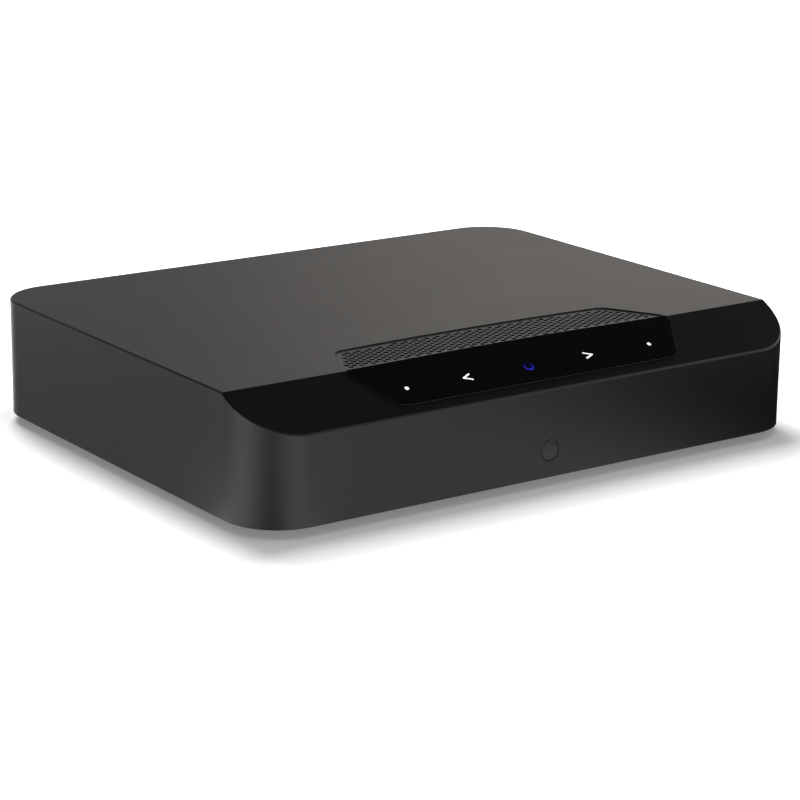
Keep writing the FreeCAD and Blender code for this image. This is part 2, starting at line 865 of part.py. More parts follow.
def make_touch_panel():
    body = new_body("touch_panel")
    plan = slope_sketch(body, "panel_plan", "-panel_seat")
    corners = half_recess("0", "panel_drop", "0", "0")
    polygon(plan, down_slope(corners), [(0, "-panel_arch")])
    pad(body, plan, "panel_thickness")
    depth = number("panel_thickness")
    fillet_recess(body, "panel", slope_normal(), below_fold, number("panel_drop"), depth)


GUIDE_WIDTH = "2 * (recess_half_width - light_guide_side_inset)"
GUIDE_DROP = "(panel_drop - 2 * light_guide_end_inset)"


def slope_block(label, width, drop, high, thickness):
    """A flat block behind the touch panel. high is how far its face lies from the slope's plane."""
    body = new_body(label)
    plan = slope_sketch(body, label + "_plan", f"{high} - {thickness}")
    polygon(plan, rectangle(
        (f"-({width}) / 2", f"-(panel_drop + ({drop})) / 2"),
        (f"({width}) / 2", f"-(panel_drop - ({drop})) / 2"),
    ))
    pad(body, plan, thickness)


def make_touch_electronics():
    slope_block("light_guide", GUIDE_WIDTH, GUIDE_DROP, "-panel_seat", "light_guide_thickness")
    slope_block(
        "touch_board",
        f"{GUIDE_WIDTH} - 2 * touch_board_margin",
        f"{GUIDE_DROP} - touch_board_margin",
        "-panel_seat - light_guide_thickness",
        "touch_board_thickness",
    )


# Receiver behind the front window

def make_receiver():
    inner_y = "front_y + wall"
    eye_start = ("0", "front_y", "window_z")
    face = prism("window_face", WINDOW_SIDES, "window_radius", "window_length", eye_start, ALONG_Y)
    start = ("0", inner_y, "window_z")
    flange = prism("window_rim", ROUND, "window_flange_radius", "window_flange", start, ALONG_Y)
    node(fuse("ir_window", face, flange), "ir_window")

    eye_y = "front_y + window_length"
    half = "receiver_width / 2"
    case = box(
        "receiver_case",
        (f"-{half}", eye_y, "window_z - receiver_height / 2"),
        (half, f"{eye_y} + receiver_thickness", "window_z + receiver_height / 2"),
    )
    node(case, "ir_receiver")
    board_y = f"{eye_y} + receiver_thickness"
    board = box(
        "front_board",
        ("-front_board_width / 2", board_y, "deck_z"),
        ("front_board_width / 2", f"{board_y} + front_board_thickness", "deck_z + front_board_height"),
    )
    node(board, "front_board")


# Rear panels and what sits in them

def post_x(i):
    return f"(post_first_x + {i} * post_pitch)"


STUD_CLEARANCE = "stud_radius + screw_gap"
FLUTE_COUNT = 18


def rear_plate(label, left, right):
    """A plate across part of the back, seated behind the case's rear wall."""
    body = new_blank(f"{label}_blank")
    plan = new_sketch(body, f"{label}_plan", "XZ_Plane", "-panel_face_y")
    high = "foot_height + rear_opening_height + rear_panel_lip"
    polygon(plan, rectangle((left, "deck_z"), (right, high)))
    pad(body, plan, "rear_panel_thickness")
    return body


REAR_HALF = "(rear_opening_half + rear_panel_lip)"


def make_rear_panel():
    """The plate of the mains and data sockets."""
    body = rear_plate("rear_panel", f"-{REAR_HALF}", "seam_x - rear_panel_seam / 2")
    squares = new_sketch(body, "square_openings", "XZ_Plane", "-panel_face_y")
    for name in ("ethernet", "hdmi", "usb"):
        polygon(squares, rectangle(
            (f"{name}_x - {name}_width / 2 - socket_gap", "board_top_z - socket_gap"),
            (f"{name}_x + {name}_width / 2 + socket_gap", f"board_top_z + {name}_height + socket_gap"),
        ))
    polygon(squares, rectangle(
        ("mains_x - mains_width / 2 - socket_gap", "mains_z - mains_height / 2 - socket_gap"),
        ("mains_x + mains_width / 2 + socket_gap", "mains_z + mains_height / 2 + socket_gap"),
    ))
    pocket(body, squares, "2 * rear_panel_thickness", reverse=True)
    node(body, "rear_panel")


def make_sound_panel():
    """The plate of the sound sockets and the loudspeaker posts."""
    body = rear_plate("sound_panel", "seam_x + rear_panel_seam / 2", REAR_HALF)
    openings = [(f"stud_opening_{i + 1}", post_x(i), "post_z", STUD_CLEARANCE) for i in range(POST_COUNT)]
    openings.append(("sub_opening", "audio_x", "sub_z", around("sub_barrel_radius + socket_gap", ROUND)))
    depth = f"rear_panel_thickness + 2 * {OVER}"
    cuts = []
    for name, x, z, radius in openings:
        start = (x, f"panel_back_y - {OVER}", z)
        cuts.append(prism(name, ROUND, radius, depth, start, ALONG_Y))
    start = ("audio_x", f"panel_back_y - {OVER}", "audio_z")
    cuts.append(cylinder("audio_opening", "audio_nose_radius + socket_gap", depth, start, ALONG_Y))
    node(cut("sound_panel", body, *cuts), "sound_panel")


def make_ethernet_socket():
    body = new_body("ethernet_socket")
    plan = new_sketch(body, "ethernet_plan", "XZ_Plane", "-socket_face_y")
    half = "ethernet_width / 2"
    polygon(plan, rectangle(
        (f"ethernet_x - {half}", "board_top_z"),
        (f"ethernet_x + {half}", "board_top_z + ethernet_height"),
    ))
    pad(body, plan, "ethernet_depth")
    mouth = new_sketch(body, "ethernet_mouth", "XZ_Plane", "-socket_face_y")
    side = "ethernet_mouth_width / 2"
    key = "ethernet_key_width / 2"
    sill = "(board_top_z + ethernet_mouth_sill)"
    shelf = f"({sill} + ethernet_mouth_height)"
    polygon(mouth, [
        (f"ethernet_x - {side}", sill),
        (f"ethernet_x + {side}", sill),
        (f"ethernet_x + {side}", shelf),
        (f"ethernet_x + {key}", shelf),
        (f"ethernet_x + {key}", f"{shelf} + ethernet_key_height"),
        (f"ethernet_x - {key}", f"{shelf} + ethernet_key_height"),
        (f"ethernet_x - {key}", shelf),
        (f"ethernet_x - {side}", shelf),
    ])
    pocket(body, mouth, "ethernet_mouth_depth", reverse=True)


def make_hdmi_socket():
    """A thin metal shell with bevelled lower corners, and the tongue in it."""
    body = new_body("hdmi_socket")

    def shell_outline(inset):
        side = f"(hdmi_width / 2 - {inset})"
        low = f"(board_top_z + {inset})"
        high = f"(board_top_z + hdmi_height - {inset})"
        return [
            (f"hdmi_x - {side} + hdmi_bevel", low),
            (f"hdmi_x + {side} - hdmi_bevel", low),
            (f"hdmi_x + {side}", f"{low} + hdmi_bevel"),
            (f"hdmi_x + {side}", high),
            (f"hdmi_x - {side}", high),
            (f"hdmi_x - {side}", f"{low} + hdmi_bevel"),
        ]

    plan = new_sketch(body, "hdmi_plan", "XZ_Plane", "-socket_face_y")
    polygon(plan, shell_outline("0"))
    pad(body, plan, "hdmi_depth")
    mouth = new_sketch(body, "hdmi_mouth", "XZ_Plane", "-socket_face_y")
    polygon(mouth, shell_outline("hdmi_skin"))
    pocket(body, mouth, "hdmi_depth - hdmi_skin", reverse=True)

    half = "hdmi_tongue_width / 2"
    rise = "hdmi_tongue_height / 2"
    back = "socket_face_y - hdmi_depth + hdmi_skin"
    middle = "(board_top_z + hdmi_height / 2)"
    tongue = box(
        "hdmi_tongue",
        (f"hdmi_x - {half}", back, f"{middle} - {rise}"),
        (f"hdmi_x + {half}", "socket_face_y - hdmi_skin", f"{middle} + {rise}"),
    )
    node(tongue, "hdmi_tongue")


def make_usb_socket():
    back = "socket_face_y - usb_depth"
    outer = box(
        "usb_shell",
        ("usb_x - usb_width / 2", back, "board_top_z"),
        ("usb_x + usb_width / 2", "socket_face_y", "board_top_z + usb_height"),
    )
    inner = box(
        "usb_mouth",
        ("usb_x - usb_width / 2 + usb_skin", f"{back} + usb_skin", "board_top_z + usb_skin"),
        ("usb_x + usb_width / 2 - usb_skin", "socket_face_y + usb_skin", "board_top_z + usb_height - usb_skin"),
    )
    node(cut("usb_socket", outer, inner), "usb_socket")
    high = "board_top_z + usb_height - usb_skin"
    tongue = box(
        "usb_tongue",
        ("usb_x - usb_tongue_width / 2", f"{back} + usb_skin", f"{high} - usb_tongue_height"),
        ("usb_x + usb_tongue_width / 2", "socket_face_y - 2 * usb_skin", high),
    )
    node(tongue, "usb_tongue")


def make_audio_socket():
    half = "audio_body_width / 2"
    block = box(
        "audio_block",
        (f"audio_x - {half}", "panel_back_y - audio_body_depth", "board_top_z"),
        (f"audio_x + {half}", "panel_back_y", "board_top_z + audio_body_height"),
    )
    length = "rear_panel_thickness + socket_proud"
    start = ("audio_x", "panel_back_y", "audio_z")
    nose = prism("audio_nose", ROUND, "audio_nose_radius", length, start, ALONG_Y)
    start = ("audio_x", "socket_face_y - audio_bore_depth", "audio_z")
    bore = cylinder("audio_bore", "audio_bore_radius", "audio_bore_depth + socket_proud", start, ALONG_Y)
    node(cut("audio_socket", fuse("audio_body", block, nose), bore), "audio_socket")


def make_sub_socket():
    """A metal barrel on the panel with an insulating core that has the contact in it."""

    def turned(name, radius, length, y):
        return cylinder(name, radius, length, ("audio_x", y, "sub_z"), ALONG_Y)

    def faceted(name, radius, length, y):
        return prism(name, ROUND, radius, length, ("audio_x", y, "sub_z"), ALONG_Y)

    inner = "(sub_barrel_radius - sub_barrel_wall)"
    back = "panel_face_y - sub_tail"
    length = "sub_barrel_length + sub_tail"
    barrel = turned("sub_barrel", "sub_barrel_radius", "sub_barrel_length", "panel_face_y")
    tail = faceted("sub_tail_sleeve", "sub_barrel_radius", "sub_tail", back)
    flange = faceted("sub_flange", "sub_flange_radius", "sub_flange_thickness", "panel_face_y")
    hollow = faceted("sub_hollow", inner, f"{length} + 2 * {OVER}", f"{back} - {OVER}")
    node(cut("sub_socket", fuse("sub_body", barrel, flange, tail), hollow), "sub_socket")
    core = faceted("sub_core_block", inner, f"{length} - socket_proud", back)
    start = "panel_face_y + sub_barrel_length - sub_contact_depth"
    contact = turned("sub_contact", "sub_contact_radius", f"sub_contact_depth + {OVER}", start)
    node(cut("sub_core", core, contact), "sub_core")


def make_mains_inlet():
    half = "mains_width / 2"
    low = "mains_z - mains_height / 2"
    high = "mains_z + mains_height / 2"
    block = box(
        "mains_block",
        (f"mains_x - {half}", "socket_face_y - mains_depth", low),
        (f"mains_x + {half}", "socket_face_y", high),
    )
    floor_y = "socket_face_y - mains_mouth_depth"
    lobes = []
    pins = []
    for side, sign in (("left", "-"), ("right", "+")):
        x = f"mains_x {sign} mains_pin_pitch / 2"
        start = (x, floor_y, "mains_z")
        depth = f"mains_mouth_depth + {OVER}"
        lobes.append(prism(f"mains_lobe_{side}", ROUND, "mains_lobe_radius", depth, start, ALONG_Y))
        pins.append(cylinder(f"mains_pin_{side}", "mains_pin_radius", "mains_pin_length", start, ALONG_Y))
    waist = box(
        "mains_waist_block",
        ("mains_x - mains_pin_pitch / 2", floor_y, "mains_z - mains_waist / 2"),
        ("mains_x + mains_pin_pitch / 2", f"socket_face_y + {OVER}", "mains_z + mains_waist / 2"),
    )
    seat = box(
        "mains_foot",
        (f"mains_x - {half}", "socket_face_y - mains_depth", "board_top_z"),
        (f"mains_x + {half}", "panel_back_y - socket_gap", low),
    )
    inlet = cut("mains_inlet", fuse("mains_body", block, seat), *lobes, waist)
    node(inlet, "mains_inlet")
    node(group("mains_pins", *pins), "mains_pins")


# Loudspeaker posts

def make_terminal_block():
    first = f"{post_x(0)} - block_margin"
    last = f"{post_x(POST_COUNT - 1)} + block_margin"
    plate = box(
        "block_plate",
        (first, "panel_face_y", "post_z - block_margin"),
        (last, "block_face_y", "post_z + block_margin"),
    )
    collars = []
    holes = []
    for i in range(POST_COUNT):
        start = (post_x(i), "block_face_y", "post_z")
        collars.append(prism(f"collar_{i + 1}", FINE_ROUND, "collar_radius", "collar_length", start, ALONG_Y))
        start = (post_x(i), f"panel_face_y - {OVER}", "post_z")
        length = f"block_thickness + collar_length + 2 * {OVER}"
        holes.append(prism(f"collar_hole_{i + 1}", ROUND, STUD_CLEARANCE, length, start, ALONG_Y))
    node(cut("terminal_block", fuse("block_body", plate, *collars), *holes), "terminal_block")


def make_post_stud(i):
    start = (post_x(i - 1), "panel_back_y - stud_tail", "post_z")
    length = "stud_end_y - panel_back_y + stud_tail"
    rod = prism(f"stud_rod_{i}", ROUND, "stud_radius", length, start, ALONG_Y)
    bore_start = (post_x(i - 1), "stud_end_y - plug_bore_depth", "post_z")
    bore = cylinder(f"stud_bore_{i}", "plug_bore_radius", f"plug_bore_depth + {OVER}", bore_start, ALONG_Y)
    hole_start = (post_x(i - 1), "collar_face_y + wire_hole_offset", "post_z - 2 * stud_radius")
    hole = prism(f"wire_hole_{i}", HEX, "wire_hole_radius", "4 * stud_radius", hole_start)
    node(cut(f"post_stud_{i}", rod, bore, hole), f"post_stud_{i}")


def make_post_nuts():
    nuts = []
    for i in range(POST_COUNT):
        start = (post_x(i), "panel_back_y - post_nut_length", "post_z")
        across = "post_nut_across / sqrt(3)"
        outer = prism(f"nut_blank_{i + 1}", HEX, across, "post_nut_length", start, ALONG_Y)
        start = (post_x(i), f"panel_back_y - post_nut_length - {OVER}", "post_z")
        hole = prism(f"nut_hole_{i + 1}", ROUND, "stud_radius", f"post_nut_length + 2 * {OVER}", start, ALONG_Y)
        nuts.append(cut(f"post_nut_{i + 1}", outer, hole))
    node(group("post_nuts", *nuts), "post_nuts")


def make_post_insert(i):
    start = (post_x(i - 1), "cap_base_y + seat_gap", "post_z")
    outer = prism(f"insert_blank_{i}", ROUND, "insert_radius", "insert_length", start, ALONG_Y)
    start = (post_x(i - 1), f"cap_base_y + seat_gap - {OVER}", "post_z")
    length = f"insert_length + 2 * {OVER}"
    hole = cylinder(f"insert_hole_{i}", "stud_radius + running_gap", length, start, ALONG_Y)
    node(cut(f"post_insert_{i}", outer, hole), f"post_insert_{i}")


def fluted_outline(x, z):
    """A ridge at the cap's radius and a valley beside it for every flute."""
    corners = []
    for k in range(FLUTE_COUNT):
        for step, radius in ((0, "cap_radius"), (0.5, "(cap_radius - flute_depth)")):
            angle = f"{k + step} * 360deg / {FLUTE_COUNT}"
            corners.append((f"{x} + {radius} * cos({angle})", f"{z} + {radius} * sin({angle})"))
    return corners


def make_post_cap(i):
    """A screw cap with a plain skirt, a fluted grip, a plug hole and a seat for the metal insert."""
    body = new_blank(f"cap_grip_{i}")
    grip = new_sketch(body, f"cap_grip_plan_{i}", "XZ_Plane", "-(cap_base_y + cap_skirt)")
    polygon(grip, fluted_outline(post_x(i - 1), "post_z"))
    pad(body, grip, "cap_end_y - cap_base_y - cap_skirt", reverse=True)

    def bar(name, sides, radius, length, y):
        return prism(f"{name}_{i}", sides, radius, length, (post_x(i - 1), y, "post_z"), ALONG_Y)

    skirt = bar("cap_skirt", FINE_ROUND, "cap_radius", "cap_skirt", "cap_base_y")
    seat_radius = around("insert_radius + running_gap", ROUND)
    seat_depth = f"insert_length + 2 * seat_gap + {OVER}"
    seat = bar("cap_seat", ROUND, seat_radius, seat_depth, f"cap_base_y - {OVER}")
    mouth = bar("cap_mouth", FINE_ROUND, "cap_mouth_radius", f"cap_end_y - cap_base_y + {OVER}", "cap_base_y")
    node(cut(f"post_cap_{i}", fuse(f"cap_body_{i}", body, skirt), seat, mouth), f"post_cap_{i}")


# Boards and what stands on them

def board(label, left, front, width, depth):
    """A circuit board with a screw hole near each end of its sides."""
    blank = box(
        label + "_blank",
        (left, front, "board_z"),
        (f"{left} + {width}", f"{front} + {depth}", "board_top_z"),
    )
    places = board_corners(left, front, width, depth)
    holes = []
    for i, (x, y) in enumerate(places, start=1):
        start = (x, y, f"board_z - {OVER}")
        radius = "board_screw_radius + screw_gap"
        holes.append(prism(f"{label}_hole_{i}", HEX, radius, f"board_thickness + 2 * {OVER}", start))
    node(cut(label, blank, *holes), label)
    return places


def board_corners(left, front, width, depth):
    xs = (f"{left} + board_screw_inset", f"{left} + {width} - board_screw_inset")
    ys = (f"{front} + board_screw_inset", f"{front} + {depth} - board_screw_rear_inset")
    return [(x, y) for x in xs for y in ys]


def make_boards():
    places = board("main_board", "main_left_x", "main_front_y", "main_width", "main_board_depth")
    places += board("power_board", "power_left_x", "power_front_y", "power_board_width", "power_board_depth")
    standoffs = []
    screws = []
    for i, (x, y) in enumerate(places, start=1):
        standoffs.append(prism(f"standoff_{i}", HEX, "standoff_radius", "board_lift", (x, y, "deck_z")))
        seat = (x, y, "board_top_z")
        head = prism(f"board_screw_head_{i}", HEX, "board_screw_head_radius", "board_screw_head_height", seat)
        shank = prism(f"board_screw_shank_{i}", HEX, "board_screw_radius", "board_thickness", (x, y, "board_z"))
        screws.append(fuse(f"board_screw_{i}", head, shank))
    node(group("board_standoffs", *standoffs), "board_standoffs")
    node(group("board_screws", *screws), "board_screws")


def on_board(name, x, y, width, depth, height, base="board_top_z"):
    """A block that stands on a board, centred at x, y."""
    return box(
        name,
        (f"{x} - ({width}) / 2", f"{y} - ({depth}) / 2", base),
        (f"{x} + ({width}) / 2", f"{y} + ({depth}) / 2", f"{base} + ({height})"),
    )


def make_transformer():
    y = "(power_front_y + core_from_front)"
    outer = on_board("core_block", "power_x", y, "core_width", "core_depth", "core_height")
    gap = "((core_width - 3 * core_leg) / 2)"
    depth = f"core_depth + 2 * {OVER}"
    height = "core_height - 2 * core_leg"
    base = "board_top_z + core_leg"
    windows = []
    for name, sign in (("left", "-"), ("right", "+")):
        centre = f"power_x {sign} (core_leg + {gap}) / 2"
        windows.append(on_board("core_window_" + name, centre, y, gap, depth, height, base))
    node(cut("transformer_core", outer, *windows), "transformer_core")
    blank = on_board(
        "winding_block",
        "power_x",
        y,
        "core_width - 2 * core_leg - 2 * fit_gap",
        "core_depth + 2 * winding_margin",
        f"{height} - 2 * fit_gap",
        f"{base} + fit_gap",
    )
    width = "core_leg + 2 * fit_gap"
    hole = on_board("winding_hole", "power_x", y, width, "core_depth + 2 * fit_gap", "core_height")
    node(cut("transformer_winding", blank, hole), "transformer_winding")


def make_power_parts():
    tanks = []
    for i, sign in enumerate(("-", "+"), start=1):
        place = (f"power_x {sign} tank_pitch / 2", "power_front_y + tank_from_front", "board_top_z")
        tanks.append(prism(f"tank_capacitor_{i}", ROUND, "tank_radius", "tank_height", place))
    node(group("tank_capacitors", *tanks), "tank_capacitors")
    y = "power_front_y + choke_from_front"
    ring = prism("choke_ring", ROUND, "choke_radius", "choke_height", ("power_x", y, "board_top_z"))
    start = ("power_x", y, f"board_top_z - {OVER}")
    hole = prism("choke_hole", ROUND, "choke_bore_radius", f"choke_height + 2 * {OVER}", start)
    node(cut("line_choke", ring, hole), "line_choke")
    start = ("power_x - fuse_side", "power_front_y + fuse_from_front", "board_top_z + fuse_radius")
    node(prism("line_fuse", ROUND, "fuse_radius", "fuse_length", start, ALONG_Y), "line_fuse")

    body = new_body("power_heatsink")
    side = new_sketch(body, "power_sink_side", "YZ_Plane", "power_x")
    front = "(power_front_y + power_sink_from_front)"
    polygon(side, [
        (front, "board_top_z"),
        (f"{front} + power_sink_foot", "board_top_z"),
        (f"{front} + power_sink_foot", "board_top_z + power_sink_height"),
        (f"{front} + power_sink_foot - power_sink_thickness", "board_top_z + power_sink_height"),
        (f"{front} + power_sink_foot - power_sink_thickness", "board_top_z + power_sink_thickness"),
        (front, "board_top_z + power_sink_thickness"),
    ])
    pad(body, side, "power_sink_width", middle=True)


def finned_block(label, x, y, low_z, prefix):
    """An extruded heat sink: its fins stand side by side along X and run along Y."""
    body = new_body(label)
    plan = new_sketch(body, label + "_section", "XZ_Plane", f"-({y} - {prefix}_length / 2)")
    base = f"{low_z} + {prefix}_base"
    top = f"{low_z} + {prefix}_height"
    count = int(number(prefix + "_fins"))
    wide = f"({prefix}_pitch * ({prefix}_fins - 1) + {prefix}_fin)"
    left = f"{x} - {wide} / 2"
    corners = [(left, low_z), (f"{x} + {wide} / 2", low_z)]
    for i in range(count - 1, -1, -1):
        outer = f"{left} + {i} * {prefix}_pitch + {prefix}_fin"
        inner = f"{left} + {i} * {prefix}_pitch"
        if i < count - 1:
            corners.append((outer, base))
        corners += [(outer, top), (inner, top)]
        if i > 0:
            corners.append((inner, base))
    polygon(plan, corners)
    pad(body, plan, f"{prefix}_length", reverse=True)


SUPPLY_COUNT = 2


def make_main_parts():
    chip_top = "board_top_z + chip_height"
    chips = []
    for name in ("amp", "processor"):
        x, y = f"{name}_x", f"{name}_y"
        chips.append(on_board(f"{name}_chip", x, y, "chip_width", "chip_width", "chip_height"))
    node(group("chips", *chips), "chips")
    finned_block("amp_heatsink", "amp_x", "amp_y", chip_top, "amp_sink")
    finned_block("processor_heatsink", "processor_x", "processor_y", chip_top, "processor_sink")

    coils = []
    films = []
    for i in range(POST_COUNT):
        coils.append(on_board(f"coil_{i + 1}", post_x(i), "coil_y", "coil_width", "coil_width", "coil_height"))
        beside = f"({post_x(i)} + post_pitch / 2)"
        films.append(on_board(f"film_{i + 1}", beside, "coil_y", "film_width", "film_depth", "film_height"))
    node(group("output_coils", *coils), "output_coils")
    node(group("film_capacitors", *films), "film_capacitors")

    cans = []
    for i in range(SUPPLY_COUNT):
        place = ("supply_x", f"supply_y + {i} * supply_pitch", "board_top_z")
        cans.append(prism(f"supply_capacitor_{i + 1}", ROUND, "supply_radius", "supply_height", place))
    node(group("supply_capacitors", *cans), "supply_capacitors")

    thickness = "module_thickness"
    module = on_board("module_board", "module_x", "module_y", "module_width", "module_depth", thickness)
    node(module, "network_module")
    can = on_board(
        "module_can",
        "module_x",
        "module_y",
        "module_width - 2 * can_margin",
        "module_depth - 2 * can_margin",
        "can_height",
        f"board_top_z + {thickness}",
    )
    node(can, "shield_can")


def make_antennas():
    strips = []
    inner_x = "(case_width / 2 - wall)"
    for name, low, high in (
        ("left", f"-{inner_x}", f"-{inner_x} + antenna_thickness"),
        ("right", f"{inner_x} - antenna_thickness", inner_x),
    ):
        strips.append(box(
            "antenna_" + name,
            (low, "antenna_y - antenna_length / 2", "antenna_z - antenna_height / 2"),
            (high, "antenna_y + antenna_length / 2", "antenna_z + antenna_height / 2"),
        ))
    node(group("antennas", *strips), "antennas")


def make_flat_cable():
    """Hangs from the touch board, turns once and lies on the front edge of the main board."""
    body = new_body("flat_cable")
    side = new_sketch(body, "flat_cable_side", "YZ_Plane")
    front = "(front_y + flat_cable_from_front)"
    slope_depth = "(panel_seat + light_guide_thickness + touch_board_thickness + seat_gap)"
    rise = "slope_drop / slope_run"
    drop = f"{slope_depth} * sqrt(1 + ({rise})^2)"
    top_front = f"slope_foot_z + ({front} - front_y) * {rise} - {drop}"
    top_back = f"{top_front} + flat_cable_thickness * {rise}"
    end = "main_front_y + flat_cable_overlap"
    polygon(side, [
        (front, "board_top_z"),
        (end, "board_top_z"),
        (end, "board_top_z + flat_cable_thickness"),
        (f"{front} + flat_cable_thickness", "board_top_z + flat_cable_thickness"),
        (f"{front} + flat_cable_thickness", top_back),
        (front, top_front),
    ])
    pad(body, side, "flat_cable_width", middle=True)
    bend_y = number(front)
    bend_z = number("board_top_z")
    thickness = number("flat_cable_thickness")

    def at_bend(edge, shift):
        off_y = abs(edge.CenterOfMass.y - bend_y - shift)
        off_z = abs(edge.CenterOfMass.z - bend_z - shift)
        return runs_along(edge, X_AXIS) and max(off_y, off_z) < 0.01

    fillet(body, "flat_cable_inside", "flat_cable_bend", lambda e: at_bend(e, thickness))
    fillet(body, "flat_cable_outside", "flat_cable_bend + flat_cable_thickness", lambda e: at_bend(e, 0))


make_top_shell()
make_base_plate()
make_case_screws()
make_feet()
make_vent_grille()
make_touch_panel()
make_touch_electronics()
make_receiver()
make_rear_panel()
make_sound_panel()
make_ethernet_socket()
make_hdmi_socket()
make_usb_socket()
make_audio_socket()
make_sub_socket()
make_mains_inlet()
make_terminal_block()
make_post_nuts()
for i in range(1, POST_COUNT + 1):
    make_post_stud(i)
    make_post_insert(i)
    make_post_cap(i)
make_boards()
make_transformer()
make_power_parts()
make_main_parts()
make_antennas()
make_flat_cable()

doc.recompute()


def check_document():
    """Stops before anything is written if an object failed or a piece has no valid solid."""
    for thing in doc.Objects:
        if "Invalid" in thing.State or "Error" in thing.State:
            raise RuntimeError(f"{thing.Name} failed: {thing.State}")
    for thing in nodes:
        shape = thing.Shape
        if shape.isNull() or not shape.isValid() or not shape.Solids:
            raise RuntimeError(f"{thing.Label} has no valid solid")


check_document()
os.makedirs("parts", exist_ok=True)
for thing in nodes:
    thing.Shape.exportStep(f"parts/{thing.Label}.step")
print(len(nodes), "pieces written")
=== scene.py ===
import math

import bmesh
import bpy
from mathutils import Matrix, Vector


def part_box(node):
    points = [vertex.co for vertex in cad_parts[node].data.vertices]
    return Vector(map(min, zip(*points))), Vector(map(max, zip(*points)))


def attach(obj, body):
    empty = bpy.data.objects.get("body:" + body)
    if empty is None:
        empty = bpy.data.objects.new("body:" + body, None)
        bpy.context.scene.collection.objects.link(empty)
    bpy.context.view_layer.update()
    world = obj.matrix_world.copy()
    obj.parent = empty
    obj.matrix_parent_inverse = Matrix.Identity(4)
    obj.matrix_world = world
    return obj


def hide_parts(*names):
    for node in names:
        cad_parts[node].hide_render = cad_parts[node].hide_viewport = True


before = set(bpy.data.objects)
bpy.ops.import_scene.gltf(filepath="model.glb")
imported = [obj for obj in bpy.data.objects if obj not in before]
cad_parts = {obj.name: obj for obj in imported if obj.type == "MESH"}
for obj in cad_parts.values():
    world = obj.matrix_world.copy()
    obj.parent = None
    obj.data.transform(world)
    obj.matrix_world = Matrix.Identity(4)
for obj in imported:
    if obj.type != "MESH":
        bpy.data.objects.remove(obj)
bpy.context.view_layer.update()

# The object's lengths are written in mm, and MM turns them into Blender's metres
MM = 0.001
FULL_TURN = 2 * math.pi

# Points nearer than these are one point, and faces that meet at less than this angle are one face
WELD = 0.0005
CAD_WELD = 0.002
FLAT_ANGLE = math.radians(0.6)

# Places of the case. The slope runs down and forward from the fold.
FOLD_Y = -76.0
TOP_Z = 43.2
SLOPE = math.atan2(10.8, 20.5)

# The touch panel stands proud of the slope. Marks lie just above it, and signs above the rear plates.
PANEL_PROUD = 0.45
MARK_LIFT = PANEL_PROUD + 0.012
SIGN_LIFT = 0.02

# How far back the rear's flat faces stand, and the height of the main board's upper side
PANEL_BACK = 71.1
PANEL_FACE = 73.1
SOCKET_FACE = 73.7
BLOCK_FACE = 75.1
COLLAR_FACE = 77.7
BOARD_TOP = 11.4


# Node helpers

def add_node(tree, kind, links=(), **values):
    """A new node. A link gives a socket and either what feeds it or its fixed value."""
    node = tree.nodes.new(kind)
    for name, value in values.items():
        setattr(node, name, value)
    for socket, source in links:
        if hasattr(source, "is_output"):
            tree.links.new(source, node.inputs[socket])
        else:
            node.inputs[socket].default_value = source
    return node


def operands(first, second):
    return [(0, first)] if second is None else [(0, first), (1, second)]


def calculate(tree, operation, first, second=None):
    """One step of arithmetic on numbers."""
    return add_node(tree, "ShaderNodeMath", operands(first, second), operation=operation).outputs[0]


def calculate_place(tree, operation, first, second=None):
    """One step of arithmetic on places. LENGTH and DISTANCE give a number."""
    node = add_node(tree, "ShaderNodeVectorMath", operands(first, second), operation=operation)
    return node.outputs["Value" if operation in ("LENGTH", "DISTANCE") else "Vector"]


def spread(tree, value, low, high, to_low=0.0, to_high=1.0, ease="LINEAR"):
    """Moves a value from the range low to high into another range, and keeps it in that range."""
    links = [("Value", value), ("From Min", low), ("From Max", high)]
    links += [("To Min", to_low), ("To Max", to_high)]
    return add_node(tree, "ShaderNodeMapRange", links, interpolation_type=ease).outputs[0]


def mix(tree, factor, first, second, coloured=False):
    """The first value where the factor is 0, and the second where it is 1."""
    links = [("Factor", factor), ("A", first), ("B", second)]
    node = add_node(tree, "ShaderNodeMix", links, data_type="RGBA" if coloured else "FLOAT")
    wanted = "RGBA" if coloured else "VALUE"
    return next(socket for socket in node.outputs if socket.type == wanted)


def ramp(tree, value, low, high, stops):
    """A smooth grey ramp over low to high. The stops are (value, level)."""
    place = spread(tree, value, low, high)
    node = add_node(tree, "ShaderNodeValToRGB", [("Fac", place)])
    band = node.color_ramp
    band.interpolation = "B_SPLINE"
    while len(band.elements) < len(stops):
        band.elements.new(0.5)
    for element, (at, level) in zip(band.elements, stops):
        element.position = (at - low) / (high - low)
        element.color = (level, level, level, 1)
    return node.outputs["Color"]


def object_place(tree):
    return add_node(tree, "ShaderNodeTexCoord").outputs["Object"]


def parts_of(tree, vector):
    return add_node(tree, "ShaderNodeSeparateXYZ", [("Vector", vector)]).outputs


def noise(tree, size, detail, stretch=(1, 1, 1)):
    """Noise in the object's own space, with lumps of about the given size."""
    place = object_place(tree)
    if stretch != (1, 1, 1):
        mapping = add_node(tree, "ShaderNodeMapping", [("Vector", place), ("Scale", stretch)])
        place = mapping.outputs["Vector"]
    links = [("Vector", place), ("Scale", 1 / (size * MM)), ("Detail", detail)]
    return add_node(tree, "ShaderNodeTexNoise", links).outputs["Fac"]


def new_material(name):
    made = bpy.data.materials.new(name)
    made.use_nodes = True
    return made, made.node_tree, made.node_tree.nodes["Principled BSDF"]


# Materials. Every one varies in colour and roughness from its own nodes.

# Most of the sum of two noises lies in this range
NOISE_LOW, NOISE_HIGH = 0.6, 1.4
COAT_ROUGH = 0.05


